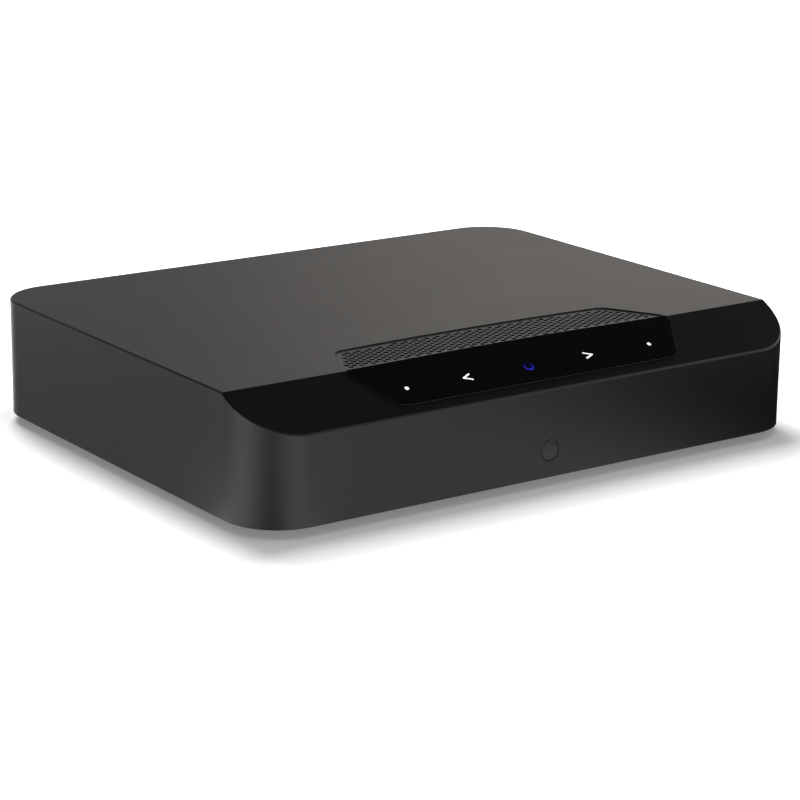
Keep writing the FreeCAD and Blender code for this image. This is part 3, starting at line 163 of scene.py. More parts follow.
def surface(name, colour, rough, swing=0.05, shade=0.12, grain=0.3, relief=0.004, patch=18,
            metal=0.0, coat=0.0, level=0.5, stretch=(1, 1, 1), glow=0.0):
    """The roughness varies by swing, and the colour by a share of shade. grain and patch are the sizes
    of the fine and the broad texture, and relief is the fine one's height. glow is white light."""
    made, tree, shader = new_material(name)
    fine = noise(tree, grain, 4.0, stretch)
    mixed = calculate(tree, "ADD", fine, noise(tree, patch, 2.0))
    dark = [c * (1 - shade) for c in colour] + [1]
    light = [min(1, c * (1 + shade)) for c in colour] + [1]
    tint = mix(tree, spread(tree, mixed, NOISE_LOW, NOISE_HIGH), dark, light, coloured=True)
    tree.links.new(tint, shader.inputs["Base Color"])
    smoothest, roughest = max(0.0, rough - swing), min(1.0, rough + swing)
    roughness = spread(tree, mixed, NOISE_LOW, NOISE_HIGH, smoothest, roughest)
    tree.links.new(roughness, shader.inputs["Roughness"])
    if relief:
        links = [("Height", fine), ("Distance", relief * MM), ("Strength", 1.0)]
        bump = add_node(tree, "ShaderNodeBump", links)
        tree.links.new(bump.outputs[0], shader.inputs["Normal"])
    shader.inputs["Metallic"].default_value = metal
    shader.inputs["Coat Weight"].default_value = coat
    shader.inputs["Coat Roughness"].default_value = COAT_ROUGH
    shader.inputs["Specular IOR Level"].default_value = level
    if glow:
        shader.inputs["Emission Color"].default_value = (1, 1, 1, 1)
        shader.inputs["Emission Strength"].default_value = glow
    return made


# Each line gives the name, colour, rough, swing, shade, grain and relief, and then what differs
case_plastic = surface("case_plastic", (0.0056, 0.0053, 0.0054), 0.35, 0.012, 0.1, 0.25, 0.0012, level=0.72)
base_plastic = surface("base_plastic", (0.012, 0.012, 0.012), 0.5, 0.05, 0.12, 0.4, 0.006)
grille_metal = surface("grille_metal", (0.05, 0.0495, 0.0495), 0.36, 0.03, 0.2, 0.12, 0.0015,
                       metal=0.6, level=0.75)
# Painted shade: a near-black material for the grille's upright faces, standing in for the shade inside the
# holes
grille_painted_shade = surface("grille_painted_shade", (0.004, 0.004, 0.004), 0.7, 0.06, 0.2, 0.3, 0.0, level=0.2)
panel_gloss = surface("panel_gloss", (0.0024, 0.0021, 0.0021), 0.09, 0.02, 0.1, 3.0, 0.0, coat=0.6)
window_gloss = surface("window_gloss", (0.005, 0.0055, 0.0055), 0.3, 0.02, 0.1, 2.0, 0.0, level=0.85)
mark_white = surface("mark_white", (0.85, 0.85, 0.85), 0.5, 0.04, 0.04, 0.4, 0.0, glow=0.55)
mark_grey = surface("mark_grey", (0.55, 0.55, 0.55), 0.5, 0.05, 0.05, 0.4, 0.0)
black_plastic = surface("black_plastic", (0.012, 0.012, 0.012), 0.45, 0.06, 0.12, 0.35, 0.005)
gloss_black = surface("gloss_black", (0.008, 0.008, 0.008), 0.28, 0.04, 0.12, 0.5, 0.002)
red_plastic = surface("red_plastic", (0.42, 0.012, 0.012), 0.38, 0.05, 0.1, 0.4, 0.003)
white_plastic = surface("white_plastic", (0.62, 0.61, 0.58), 0.42, 0.05, 0.05, 0.4, 0.003)
rubber = surface("rubber", (0.014, 0.014, 0.014), 0.75, 0.08, 0.2, 0.25, 0.012, level=0.3)
steel = surface("steel", (0.42, 0.42, 0.43), 0.34, 0.08, 0.1, 0.2, 0.003, metal=1.0)
dark_steel = surface("dark_steel", (0.035, 0.035, 0.037), 0.38, 0.08, 0.15, 0.2, 0.003, metal=0.9)
nickel = surface("nickel", (0.62, 0.60, 0.56), 0.22, 0.06, 0.06, 0.3, 0.002, metal=1.0)
gold = surface("gold", (0.80, 0.53, 0.20), 0.22, 0.05, 0.07, 0.3, 0.002, metal=1.0)
board_green = surface("board_green", (0.006, 0.06, 0.028), 0.35, 0.06, 0.35, 1.6, 0.01, patch=9)
aluminium = surface("aluminium", (0.62, 0.62, 0.63), 0.35, 0.08, 0.08, 0.12, 0.004,
                    metal=1.0, stretch=(1, 8, 1))
ferrite = surface("ferrite", (0.035, 0.036, 0.038), 0.55, 0.08, 0.2, 0.5, 0.02)
copper = surface("copper", (0.55, 0.21, 0.08), 0.3, 0.08, 0.25, 0.5, 0.03, metal=1.0, stretch=(1, 1, 6))
component = surface("component", (0.022, 0.022, 0.025), 0.45, 0.08, 0.2, 0.4, 0.006)
milk_plastic = surface("milk_plastic", (0.7, 0.7, 0.72), 0.4, 0.05, 0.04, 0.5, 0.003)
ceramic = surface("ceramic", (0.5, 0.47, 0.42), 0.5, 0.08, 0.08, 0.4, 0.005)
link_green = surface("link_green", (0.05, 0.32, 0.08), 0.25, 0.03, 0.08, 0.8, 0.0)
link_amber = surface("link_amber", (0.6, 0.28, 0.03), 0.25, 0.03, 0.08, 0.8, 0.0)


# Pieces and their edges

def place_piece(piece, material, body="root", nodes=()):
    """Gives the piece its material and body, and hides the CAD nodes that it stands for."""
    piece.data.materials.clear()
    piece.data.materials.append(material)
    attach(piece, body)
    if nodes:
        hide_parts(*nodes)
    return piece


def new_piece(name, mesh, smooth=True):
    piece = bpy.data.objects.new(name, mesh)
    bpy.context.scene.collection.objects.link(piece)
    mesh.polygons.foreach_set("use_smooth", [smooth] * len(mesh.polygons))
    return piece


def from_bmesh(name, bm, smooth=True):
    bmesh.ops.recalc_face_normals(bm, faces=bm.faces)
    mesh = bpy.data.meshes.new(name)
    bm.to_mesh(mesh)
    bm.free()
    return new_piece(name, mesh, smooth)


def soften(piece, width=0.0, segments=3, angle=30):
    """Rounds the sharp edges and keeps flat faces flat to the eye."""
    if width:
        edges = piece.modifiers.new("edges", "BEVEL")
        edges.width = width * MM
        edges.segments = segments
        edges.limit_method = "ANGLE"
        edges.angle_limit = math.radians(angle)
    shading = piece.modifiers.new("shading", "WEIGHTED_NORMAL")
    shading.keep_sharp = True
    shading.weight = 100
    return piece


def finish_piece(name, form, material, body="root", nodes=(), edge=0.0):
    """A placed piece made of a form, with its edges rounded."""
    return place_piece(soften(from_bmesh(name, form), edge), material, body, nodes)


def dressed(node, material, edge, segments=2, angle=30):
    """The CAD node's own form with rounded edges."""
    bm = bmesh.new()
    bm.from_mesh(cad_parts[node].data)
    bmesh.ops.remove_doubles(bm, verts=bm.verts, dist=CAD_WELD * MM)
    bmesh.ops.dissolve_limit(bm, angle_limit=FLAT_ANGLE, verts=bm.verts, edges=bm.edges)
    piece = soften(from_bmesh(node + "_dressed", bm), edge, segments, angle)
    place_piece(piece, material, nodes=(node,))


def span(node):
    """The node's lowest and highest corners in mm."""
    low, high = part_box(node)
    return low / MM, high / MM


def middle_of(node):
    low, high = span(node)
    return (low + high) / 2


# Solid forms

def turned(profile, centre, axis="Y", steps=96, ring=False, ripple=None):
    """A turned form. The profile's points are (place along the axis, radius). A ring's profile is
    closed, and ripple gives how far a point lies inside its radius."""
    bm = bmesh.new()
    rows = []
    for along, radius in profile:
        row = []
        for k in range(steps):
            angle = FULL_TURN * k / steps
            r = radius - (ripple(angle, along, radius) if ripple else 0)
            a, b = r * math.cos(angle), r * math.sin(angle)
            point = (a, along, b) if axis == "Y" else (a, b, along)
            row.append(bm.verts.new(Vector(centre) * MM + Vector(point) * MM))
        rows.append(row)
    pairs = list(zip(rows, rows[1:]))
    if ring:
        pairs.append((rows[-1], rows[0]))
    for row, following in pairs:
        for k in range(steps):
            nxt = (k + 1) % steps
            bm.faces.new((row[k], row[nxt], following[nxt], following[k]))
    bmesh.ops.remove_doubles(bm, verts=bm.verts, dist=WELD * MM)
    return bm


def block(bm, low, high):
    """Adds a box between two corners."""
    made = bmesh.ops.create_cube(bm, size=1)["verts"]
    middle = (Vector(low) + Vector(high)) / 2 * MM
    size = (Vector(high) - Vector(low)) * MM
    bmesh.ops.scale(bm, vec=size, verts=made)
    bmesh.ops.translate(bm, vec=middle, verts=made)
    return made


def solid_block(low, high):
    bm = bmesh.new()
    block(bm, low, high)
    return bm


def joined(forms):
    """One form that holds several."""
    bm = bmesh.new()
    for form in forms:
        mesh = bpy.data.meshes.new("part")
        form.to_mesh(mesh)
        form.free()
        bm.from_mesh(mesh)
        bpy.data.meshes.remove(mesh)
    return bm


def carve(piece, cutter):
    """Cuts a closed form out of the piece."""
    tool = from_bmesh("cutter", cutter)
    cut = piece.modifiers.new("cut", "BOOLEAN")
    cut.object = tool
    cut.solver = "EXACT"
    view = bpy.context.evaluated_depsgraph_get()
    mesh = bpy.data.meshes.new_from_object(piece.evaluated_get(view))
    piece.modifiers.clear()
    piece.data = mesh
    bpy.data.objects.remove(tool)


# Outlines, and plates cut from them

ARC_STEPS = 12


def rounded(points, at):
    """The outline with arcs at the corners whose numbers and radii are given."""
    result = []
    count = len(points)
    for i, corner in enumerate(points):
        corner = Vector(corner)
        if i not in at:
            result.append(corner)
            continue
        before = (Vector(points[i - 1]) - corner).normalized()
        after = (Vector(points[(i + 1) % count]) - corner).normalized()
        half = before.angle(after) / 2
        reach = at[i] / math.tan(half)
        middle = corner + (before + after).normalized() * (at[i] / math.sin(half))
        start, end = corner + before * reach, corner + after * reach
        from_angle = math.atan2(*(start - middle).yx)
        to_angle = math.atan2(*(end - middle).yx)
        sweep = (to_angle - from_angle + math.pi) % FULL_TURN - math.pi
        for k in range(ARC_STEPS + 1):
            angle = from_angle + sweep * k / ARC_STEPS
            result.append(middle + Vector((math.cos(angle), math.sin(angle))) * at[i])
    return result


def box_outline(low_x, low_z, high_x, high_z, radius=0.0):
    corners = [(low_x, low_z), (high_x, low_z), (high_x, high_z), (low_x, high_z)]
    return rounded(corners, {k: radius for k in range(4)} if radius else {})


def outline_of(low, high, grow=0.0, radius=0.0):
    """The outline of a box in X and Z, grown on every side."""
    return box_outline(low.x - grow, low.z - grow, high.x + grow, high.z + grow, radius)


def round_outline(x, z, radius, steps=48):
    angles = [FULL_TURN * k / steps for k in range(steps)]
    return [(x + radius * math.cos(a), z + radius * math.sin(a)) for a in angles]


def stroke(x1, z1, x2, z2, width):
    """The outline of a stroke with round ends."""
    turn = math.atan2(z2 - z1, x2 - x1)
    steps = 8
    points = []
    for x, z, start in ((x2, z2, turn - math.pi / 2), (x1, z1, turn + math.pi / 2)):
        for k in range(steps + 1):
            angle = start + math.pi * k / steps
            points.append((x + width / 2 * math.cos(angle), z + width / 2 * math.sin(angle)))
    return points


def hoop(x, z, radius, width, steps=40):
    """The outlines of a ring drawn as short flat pieces."""
    outlines = []
    for k in range(steps):
        a, b = FULL_TURN * k / steps, FULL_TURN * (k + 1) / steps
        corners = ((radius, a), (radius, b), (radius + width, b), (radius + width, a))
        outlines.append([(x + r * math.cos(t), z + r * math.sin(t)) for r, t in corners])
    return outlines


def pierced(outlines, low, high, edge=0.15, lying=False):
    """A plate with holes and rounded rims. The first outline is its edge and the others are holes.
    It stands across Y from low to high, or lies flat across Z."""
    curve = bpy.data.curves.new("outline", "CURVE")
    curve.dimensions = "2D"
    curve.fill_mode = "BOTH"
    for points in outlines:
        spline = curve.splines.new("POLY")
        spline.points.add(len(points) - 1)
        spline.use_cyclic_u = True
        for target, (x, y) in zip(spline.points, points):
            target.co = (x * MM, y * MM, 0, 1)
    curve.offset = -edge * MM
    curve.extrude = ((high - low) / 2 - edge) * MM
    curve.bevel_depth = edge * MM
    curve.bevel_resolution = 1
    drawn = bpy.data.objects.new("outline", curve)
    bpy.context.scene.collection.objects.link(drawn)
    view = bpy.context.evaluated_depsgraph_get()
    mesh = bpy.data.meshes.new_from_object(drawn.evaluated_get(view))
    bpy.data.objects.remove(drawn)
    middle = (low + high) / 2 * MM
    if lying:
        mesh.transform(Matrix.Translation((0, 0, middle)))
    else:
        upright = Matrix.Rotation(math.pi / 2, 4, "X")
        mesh.transform(Matrix.Translation((0, middle, 0)) @ upright)
    bm = bmesh.new()
    bm.from_mesh(mesh)
    bpy.data.meshes.remove(mesh)
    bmesh.ops.remove_doubles(bm, verts=bm.verts, dist=WELD * MM)
    return bm


# Printed and lit marks

def on_panel(x, s):
    """The place on the touch panel that is x across and s down from the fold."""
    y = FOLD_Y - s * math.cos(SLOPE) - MARK_LIFT * math.sin(SLOPE)
    z = TOP_Z - s * math.sin(SLOPE) + MARK_LIFT * math.cos(SLOPE)
    return Vector((x, y, z)) * MM


def on_rear(x, z):
    """The place on the rear plates."""
    return Vector((x, PANEL_FACE + SIGN_LIFT, z)) * MM


def flat_mark(name, outlines, at, material):
    """A thin mark made of flat outlines, whose points are put in place by at."""
    bm = bmesh.new()
    for outline in outlines:
        face = bm.faces.new([bm.verts.new(at(*point)) for point in outline])
        face.normal_update()
    bmesh.ops.triangulate(bm, faces=bm.faces)
    place_piece(from_bmesh(name, bm, smooth=False), material)


# Case

CASE_EDGE = 0.3


def make_case():
    """The fold is a flat angle, so the shell's limit for edges is low."""
    dressed("top_shell", case_plastic, CASE_EDGE, segments=3, angle=20)
    dressed("base_plate", base_plastic, CASE_EDGE)


# Vent grille: a plate with round holes in staggered columns. Its places run back from the fold.

GRILLE_FRONT = 0.9
GRILLE_REACH = 21.5
GRILLE_CORNER = 3.4

# Behind the shoulder each side draws in by the taper, from the wide half to the narrow half
SHOULDER = 3.0
TAPER = 0.55
HALF_WIDE = 64.6
NARROW = HALF_WIDE + TAPER * SHOULDER - TAPER * GRILLE_REACH

# How far the middle of the back edge and of the front edge stand behind their ends
CROWN = 1.8
ARCH = 0.8

# The holes, and the plain rim that they leave
HOLE_RADIUS = 0.88
PITCH_X = 2.14
PITCH_Y = 2.4
RIM = 1.3
FRONT_RIM = 2.5


def arch(x, half, rise):
    return rise * max(0.0, 1 - (x / half) ** 2)


def grille_outline():
    steps = 30
    front = [HALF_WIDE * (2 * k / steps - 1) for k in range(1, steps)]
    back = [NARROW * (1 - 2 * k / steps) for k in range(1, steps)]
    points = [(-HALF_WIDE, GRILLE_FRONT)]
    points += [(x, GRILLE_FRONT + arch(x, HALF_WIDE, ARCH)) for x in front]
    points += [(HALF_WIDE, GRILLE_FRONT), (HALF_WIDE, SHOULDER)]
    right_corner = len(points)
    points += [(NARROW, GRILLE_REACH)]
    points += [(x, GRILLE_REACH + arch(x, NARROW, CROWN)) for x in back]
    left_corner = len(points)
    points += [(-NARROW, GRILLE_REACH), (-HALF_WIDE, SHOULDER)]
    return rounded(points, {right_corner: GRILLE_CORNER, left_corner: GRILLE_CORNER})


def grille_holes():
    """The centres of the holes, which keep clear of a plain rim."""
    rim = RIM + HOLE_RADIUS
    front_rim = FRONT_RIM + HOLE_RADIUS
    slant = math.sqrt(1 + TAPER ** 2)
    last = int((HALF_WIDE - rim) / PITCH_X)
    for column in range(-last, last + 1):
        x = column * PITCH_X
        side = (HALF_WIDE + TAPER * SHOULDER - abs(x) - rim * slant) / TAPER
        far = min(side, GRILLE_REACH - rim + arch(x, NARROW, CROWN))
        y = GRILLE_FRONT + front_rim + arch(x, HALF_WIDE, ARCH)
        if column % 2:
            y += PITCH_Y / 2
        while y <= far:
            yield x, y
            y += PITCH_Y


def make_grille():
    """The plate's face stands a little above the CAD's, and the walls of its holes carry painted shade: a
    near-black second material.
    """
    level = middle_of("vent_grille").z
    below, above = 0.4, 0.65
    outlines = [grille_outline()]
    outlines += [round_outline(x, y, HOLE_RADIUS, 20) for x, y in grille_holes()]
    outlines = [[(x, FOLD_Y + y) for x, y in points] for points in outlines]
    plate = pierced(outlines, level - below, level + above, 0.1, lying=True)
    piece = from_bmesh("perforated_grille", plate, smooth=False)
    place_piece(piece, grille_metal, nodes=("vent_grille",))
    piece.data.materials.append(grille_painted_shade)
    # Painted shade: upright faces, the hole walls and the plate's outer edge, take the near-black material
    for face in piece.data.polygons:
        takes_painted_shade = abs(face.normal.z) < 0.3
        face.material_index = 1 if takes_painted_shade else 0


# Touch panel with its marks

DOT_RADIUS = 0.74
ARROW_WIDTH = 0.6
RING = (-1.95, 12.0)
RING_RADIUS = 1.5
RING_FADE = 0.6
RING_POWER = 0.66
RING_BLUE = (0.035, 0.04, 1.0, 1)
UPPER_SHARE = 0.06


def ring_glow():
    """Blue light that peaks on a ring, fades to either side and is weak in the ring's upper part."""
    made, tree, shader = new_material("ring_light")
    shader.inputs["Base Color"].default_value = (0.0016, 0.0014, 0.0014, 1)
    shader.inputs["Roughness"].default_value = 0.1
    place = object_place(tree)
    centre = on_panel(*RING)
    away = calculate_place(tree, "DISTANCE", place, centre)
    off = calculate(tree, "ABSOLUTE", calculate(tree, "SUBTRACT", away, RING_RADIUS * MM))
    fall = spread(tree, off, 0.0, RING_FADE * MM, 1.0, 0.0, "SMOOTHERSTEP")
    low, high = centre.z - 0.75 * MM, centre.z + 0.55 * MM
    lower = spread(tree, parts_of(tree, place)["Z"], low, high, RING_POWER, RING_POWER * UPPER_SHARE)
    shader.inputs["Emission Color"].default_value = RING_BLUE
    tree.links.new(calculate(tree, "MULTIPLY", fall, lower), shader.inputs["Emission Strength"])
    return made


def make_panel():
    dressed("touch_panel", panel_gloss, 0.1)
    for side, x, s in (("left", -49.5, 12.1), ("right", 48.6, 11.7)):
        flat_mark("dot_" + side, [round_outline(x, s, DOT_RADIUS, 40)], on_panel, mark_white)
    for side, tip, end, s in (("left", -27.7, -24.9, 12.1), ("right", 24.3, 21.4, 11.8)):
        arms = [stroke(tip, s, end, s + rise, ARROW_WIDTH) for rise in (-1.3, 1.2)]
        flat_mark("arrow_" + side, arms, on_panel, mark_white)
    flat_mark("status_ring", [round_outline(*RING, 2.6, 64)], on_panel, ring_glow())


# Front window

def make_window():
    eye = middle_of("ir_window")
    face = span("ir_window")[0].y
    profile = [(face, 0), (face, 3.1), (face + 0.06, 3.3), (face + 0.3, 3.4), (face + 4.2, 3.4),
               (face + 4.2, 0)]
    form = turned(profile, (eye.x, 0, eye.z))
    finish_piece("front_window", form, window_gloss, nodes=("ir_window",))


# Feet

FOOT_X = 83.5
FOOT_FRONT = -70.5
FOOT_BACK = 51.5


def make_feet():
    profile = [(0.5, 0), (0.5, 4.2), (0.0, 4.6), (0.0, 6.1), (0.2, 6.6), (0.7, 6.95), (3.75, 7.0),
               (3.75, 0)]
    places = [(x, y) for x in (-FOOT_X, FOOT_X) for y in (FOOT_FRONT, FOOT_BACK)]
    for i, (x, y) in enumerate(places, start=1):
        foot = turned(profile, (x, y, 0), axis="Z", steps=64)
        finish_piece(f"foot_{i}", foot, rubber, nodes=("rubber_feet",))


# Rear. Places and sizes are the CAD's own.

POSTS = [middle_of(f"post_cap_{i}") for i in range(1, 5)]
POST_HOLE_RADIUS = 3.2
SUB = middle_of("sub_socket")
AUDIO_Z = 14.7
INLET = middle_of("mains_pins")
INLET_RISE = 6.5
PIN_RADIUS = 1.2


def make_plate(name, node, holes):
    """A plate behind the rear opening, with a hole for each of its sockets."""
    low, high = span(node)
    plate = pierced([outline_of(low, high)] + holes, low.y, high.y, 0.12)
    finish_piece(name, plate, black_plastic, nodes=(node,))


def make_plates():
    holes = [round_outline(post.x, post.z, POST_HOLE_RADIUS) for post in POSTS]
    holes += [round_outline(SUB.x, SUB.z, 4.4), round_outline(SUB.x, AUDIO_Z, 3.25)]
    make_plate("sound_plate", "sound_panel", holes)
    sockets = ("ethernet_socket", "hdmi_socket", "usb_socket")
    holes = [outline_of(*span(node), 0.25, 0.5) for node in sockets]
    half_x, half_z = 11.25, 6.75
    holes.append(box_outline(INLET.x - half_x, INLET.z - half_z, INLET.x + half_x, INLET.z + half_z, 1.0))
    make_plate("data_plate", "rear_panel", holes)


def make_terminal_block():
    """The block behind the four posts, with a grooved collar round each."""
    low, high = span("terminal_block")
    holes = [round_outline(post.x, post.z, POST_HOLE_RADIUS) for post in POSTS]
    forms = [pierced([outline_of(low, high, 0, 2.4)] + holes, low.y, BLOCK_FACE, 0.3)]
    base, face = BLOCK_FACE, COLLAR_FACE
    profile = [(base - 0.2, POST_HOLE_RADIUS), (base - 0.2, 6.9), (base + 0.15, 6.9), (base + 0.5, 7.0),
               (face - 0.35, 7.0), (face - 0.1, 6.9), (face, 6.65), (face, 5.6), (face - 0.25, 5.4),
               (face - 0.25, 4.3), (face, 4.1), (face, 3.4), (face - 0.2, POST_HOLE_RADIUS)]
    for post in POSTS:
        forms.append(turned(profile, (post.x, 0, post.z), steps=72, ring=True))
    finish_piece("terminal_plate", joined(forms), gloss_black, nodes=("terminal_block",))


FLUTES = 18
FLUTE_DEPTH = 0.55
FLUTE_FADE = 0.9


def make_cap(i, post):
    """A screw cap with a plain skirt and a fluted grip, and the coloured ring in its end."""
    node = f"post_cap_{i}"
    low, high = span(node)
    base, end = low.y, high.y

    def flutes(angle, along, radius):
        if radius < 6:
            return 0
        inside = min(along - base - 2.7, end - 0.35 - along)
        depth = min(1.0, max(0.0, inside / FLUTE_FADE))
        return FLUTE_DEPTH * depth * (0.5 - 0.5 * math.cos(FLUTES * angle))

    profile = [(base, 4.95), (base, 6.75), (base + 0.12, 6.93), (base + 0.35, 7.0), (base + 2.05, 7.0),
               (base + 2.2, 6.95), (base + 2.3, 6.7), (base + 2.65, 6.7), (base + 2.8, 6.95),
               (base + 3.1, 7.0), (base + 3.6, 7.0), (base + 8, 7.0), (base + 13, 7.0), (end - 1.3, 7.0),
               (end - 0.9, 6.97), (end - 0.55, 6.85), (end - 0.3, 6.62), (end - 0.14, 6.3),
               (end - 0.1, 6.0), (end - 0.1, 3.75), (end - 0.2, 3.55), (end - 0.5, 3.35), (end - 1, 3.3),
               (base + 9, 3.3), (base + 9, 4.7), (base + 0.2, 4.7)]
    centre = (post.x, 0, post.z)
    cap = turned(profile, centre, steps=FLUTES * 10, ring=True, ripple=flutes)
    finish_piece(f"screw_cap_{i}", cap, gloss_black, node, (node,))
    profile = [(end - 0.3, 4.2), (end - 0.03, 4.2), (end, 4.28), (end, 5.72), (end - 0.03, 5.8),
               (end - 0.3, 5.8)]
    ring = turned(profile, centre, steps=72, ring=True)
    finish_piece(f"cap_ring_{i}", ring, red_plastic if i % 2 else component, node)


def make_insert(i, post):
    """The metal ring inside a cap's skirt, which clamps a bare wire."""
    node = f"post_insert_{i}"
    low, high = span(node)
    base, end = low.y, high.y
    profile = [(base, 3.35), (base, 4.35), (base + 0.25, 4.6), (end - 0.25, 4.6), (end, 4.35), (end, 3.35),
               (end - 0.3, 3.05), (base + 0.3, 3.05)]
    ring = turned(profile, (post.x, 0, post.z), steps=72, ring=True)
    finish_piece(f"metal_insert_{i}", ring, gold, node, (node,))


THREAD_PITCH = 1.0
THREAD_DEPTH = 0.24
STUD_RADIUS = 3.0
PLUG_RADIUS = 2.0
WIRE_HOLE_RADIUS = 1.6


def stud_form():
    """A threaded post with a plug bore in its end, on the Y axis at the origin."""
    low, high = span("post_stud_1")
    start, end = low.y, high.y
    clear_from, clear_to = COLLAR_FACE - 0.4, COLLAR_FACE + 4.4

    def thread(angle, along, radius):
        if radius < 2.9 or clear_from < along < clear_to or along > end - 0.8:
            return 0
        turn = (along / THREAD_PITCH - angle / FULL_TURN) % 1.0
        return THREAD_DEPTH * abs(2 * turn - 1)

    rows = [(start, 0.0), (start, 2.6), (start + 0.3, 2.9)]
    along = start + 0.5
    while along < end - 0.6:
        if not clear_from + 0.3 < along < clear_to - 0.3:
            rows.append((along, STUD_RADIUS))
        along += THREAD_PITCH / 5
    rows += [(end - 0.5, STUD_RADIUS), (end - 0.2, 2.95), (end, 2.75), (end, 2.25), (end - 0.25, PLUG_RADIUS),
             (end - 19.0, PLUG_RADIUS), (end - 19.6, 0.0)]
    return turned(rows, (0, 0, 0), steps=40, ripple=thread)


def make_studs():
    """The four threaded posts, each with its cross hole for a bare wire."""
    stud = from_bmesh("stud", stud_form())
    profile = [(-4, 0), (-4, WIRE_HOLE_RADIUS), (4, WIRE_HOLE_RADIUS), (4, 0)]
    carve(stud, turned(profile, (0, COLLAR_FACE + 2.0, 0), axis="Z", steps=40))
    for i, post in enumerate(POSTS, start=1):
        mesh = stud.data.copy()
        mesh.transform(Matrix.Translation(Vector((post.x, 0, post.z)) * MM))
        piece = soften(new_piece(f"threaded_post_{i}", mesh))
        place_piece(piece, gold, nodes=(f"post_stud_{i}",))
    bpy.data.objects.remove(stud)


def make_sub():
    """The phono socket: a grooved barrel, its insulator and the contact inside it."""
    centre = (SUB.x, 0, SUB.z)
    face = PANEL_FACE
    low, high = span("sub_socket")
    end = high.y
    profile = [(low.y, 3.45), (low.y, 4.15), (face, 4.15), (face, 5.3), (face + 0.1, 5.4), (face + 1.0, 5.4),
               (face + 1.2, 5.2), (face + 1.2, 4.35), (face + 1.4, 4.15), (end - 1.9, 4.15),
               (end - 1.75, 4.0), (end - 1.5, 4.0), (end - 1.35, 4.15), (end - 0.25, 4.15), (end, 3.95),
               (end, 3.6), (end - 0.2, 3.45)]
    barrel = turned(profile, centre, ring=True)
    finish_piece("sub_barrel", barrel, gold, nodes=("sub_socket",))
    low, high = span("sub_core")
    end = high.y
    profile = [(low.y, 0), (low.y, 3.43), (end - 0.3, 3.43), (end, 3.15), (end, 1.85), (end - 0.25, 1.62),
               (end - 7.6, 1.62), (end - 7.9, 0)]
    finish_piece("sub_insulator", turned(profile, centre), white_plastic, nodes=("sub_core",))
    profile = [(end - 7.7, 1.3), (end - 7.7, 1.6), (end - 0.6, 1.6), (end - 0.45, 1.5), (end - 0.45, 1.4),
               (end - 0.6, 1.3)]
    sleeve = turned(profile, centre, steps=48, ring=True)
    finish_piece("sub_contact", sleeve, gold)


def make_audio():
    """The 3.5 mm jack: a box on the board with a round nose and a bore."""
    low, high = span("audio_socket")
    centre = (SUB.x, 0, AUDIO_Z)
    face = SOCKET_FACE
    box = solid_block((low.x, low.y, BOARD_TOP), (high.x, PANEL_BACK, high.z))
    profile = [(PANEL_BACK - 0.1, 0), (PANEL_BACK - 0.1, 3.0), (face - 0.2, 3.0), (face, 2.8), (face, 0)]
    nose = turned(profile, centre, steps=72)
    body = from_bmesh("audio_jack", joined([box, nose]))
    profile = [(face - 12, 0), (face - 12, 1.78), (face - 0.25, 1.78), (face + 0.3, 2.3), (face + 0.3, 0)]
    carve(body, turned(profile, centre, steps=72))
    place_piece(soften(body), gloss_black, nodes=("audio_socket",))


def figure_of_eight(x, z, pitch, radius, waist):
    """Two round lobes side by side with a straight waist."""
    half_angle = math.asin(waist / 2 / radius)
    steps = 32
    points = []
    for side in (1, -1):
        start = half_angle - math.pi if side > 0 else half_angle
        for k in range(steps + 1):
            angle = start + 2 * (math.pi - half_angle) * k / steps
            lobe_x = x + side * pitch / 2
            points.append((lobe_x + radius * math.cos(angle), z + radius * math.sin(angle)))
    return points


def make_mains():
    """The mains inlet with its two pins."""
    low, high = span("mains_inlet")
    pins_low, pins_high = span("mains_pins")
    pitch = pins_high.x - pins_low.x - 2 * PIN_RADIUS
    floor_y, tip = pins_low.y, pins_high.y
    foot_z = INLET.z - INLET_RISE
    outline = box_outline(low.x, foot_z, high.x, high.z, 1.0)
    well = figure_of_eight(INLET.x, INLET.z, pitch, 4.5, 7.2)
    front = pierced([outline, well], floor_y, high.y, 0.3)
    back = solid_block((low.x, low.y, foot_z), (high.x, floor_y + 0.2, high.z))
    foot = solid_block((low.x, low.y, BOARD_TOP), (high.x, PANEL_BACK - 0.25, foot_z + 0.1))
    finish_piece("power_inlet", joined([front, back, foot]), gloss_black, nodes=("mains_inlet",))
    profile = [(floor_y, 0), (floor_y, PIN_RADIUS), (tip - 0.9, PIN_RADIUS), (tip - 0.5, 1.1),
               (tip - 0.15, 0.8), (tip, 0.35), (tip, 0)]
    pins = [turned(profile, (INLET.x + side * pitch / 2, 0, INLET.z), steps=36) for side in (-1, 1)]
    finish_piece("inlet_pins", joined(pins), nickel, nodes=("mains_pins",))


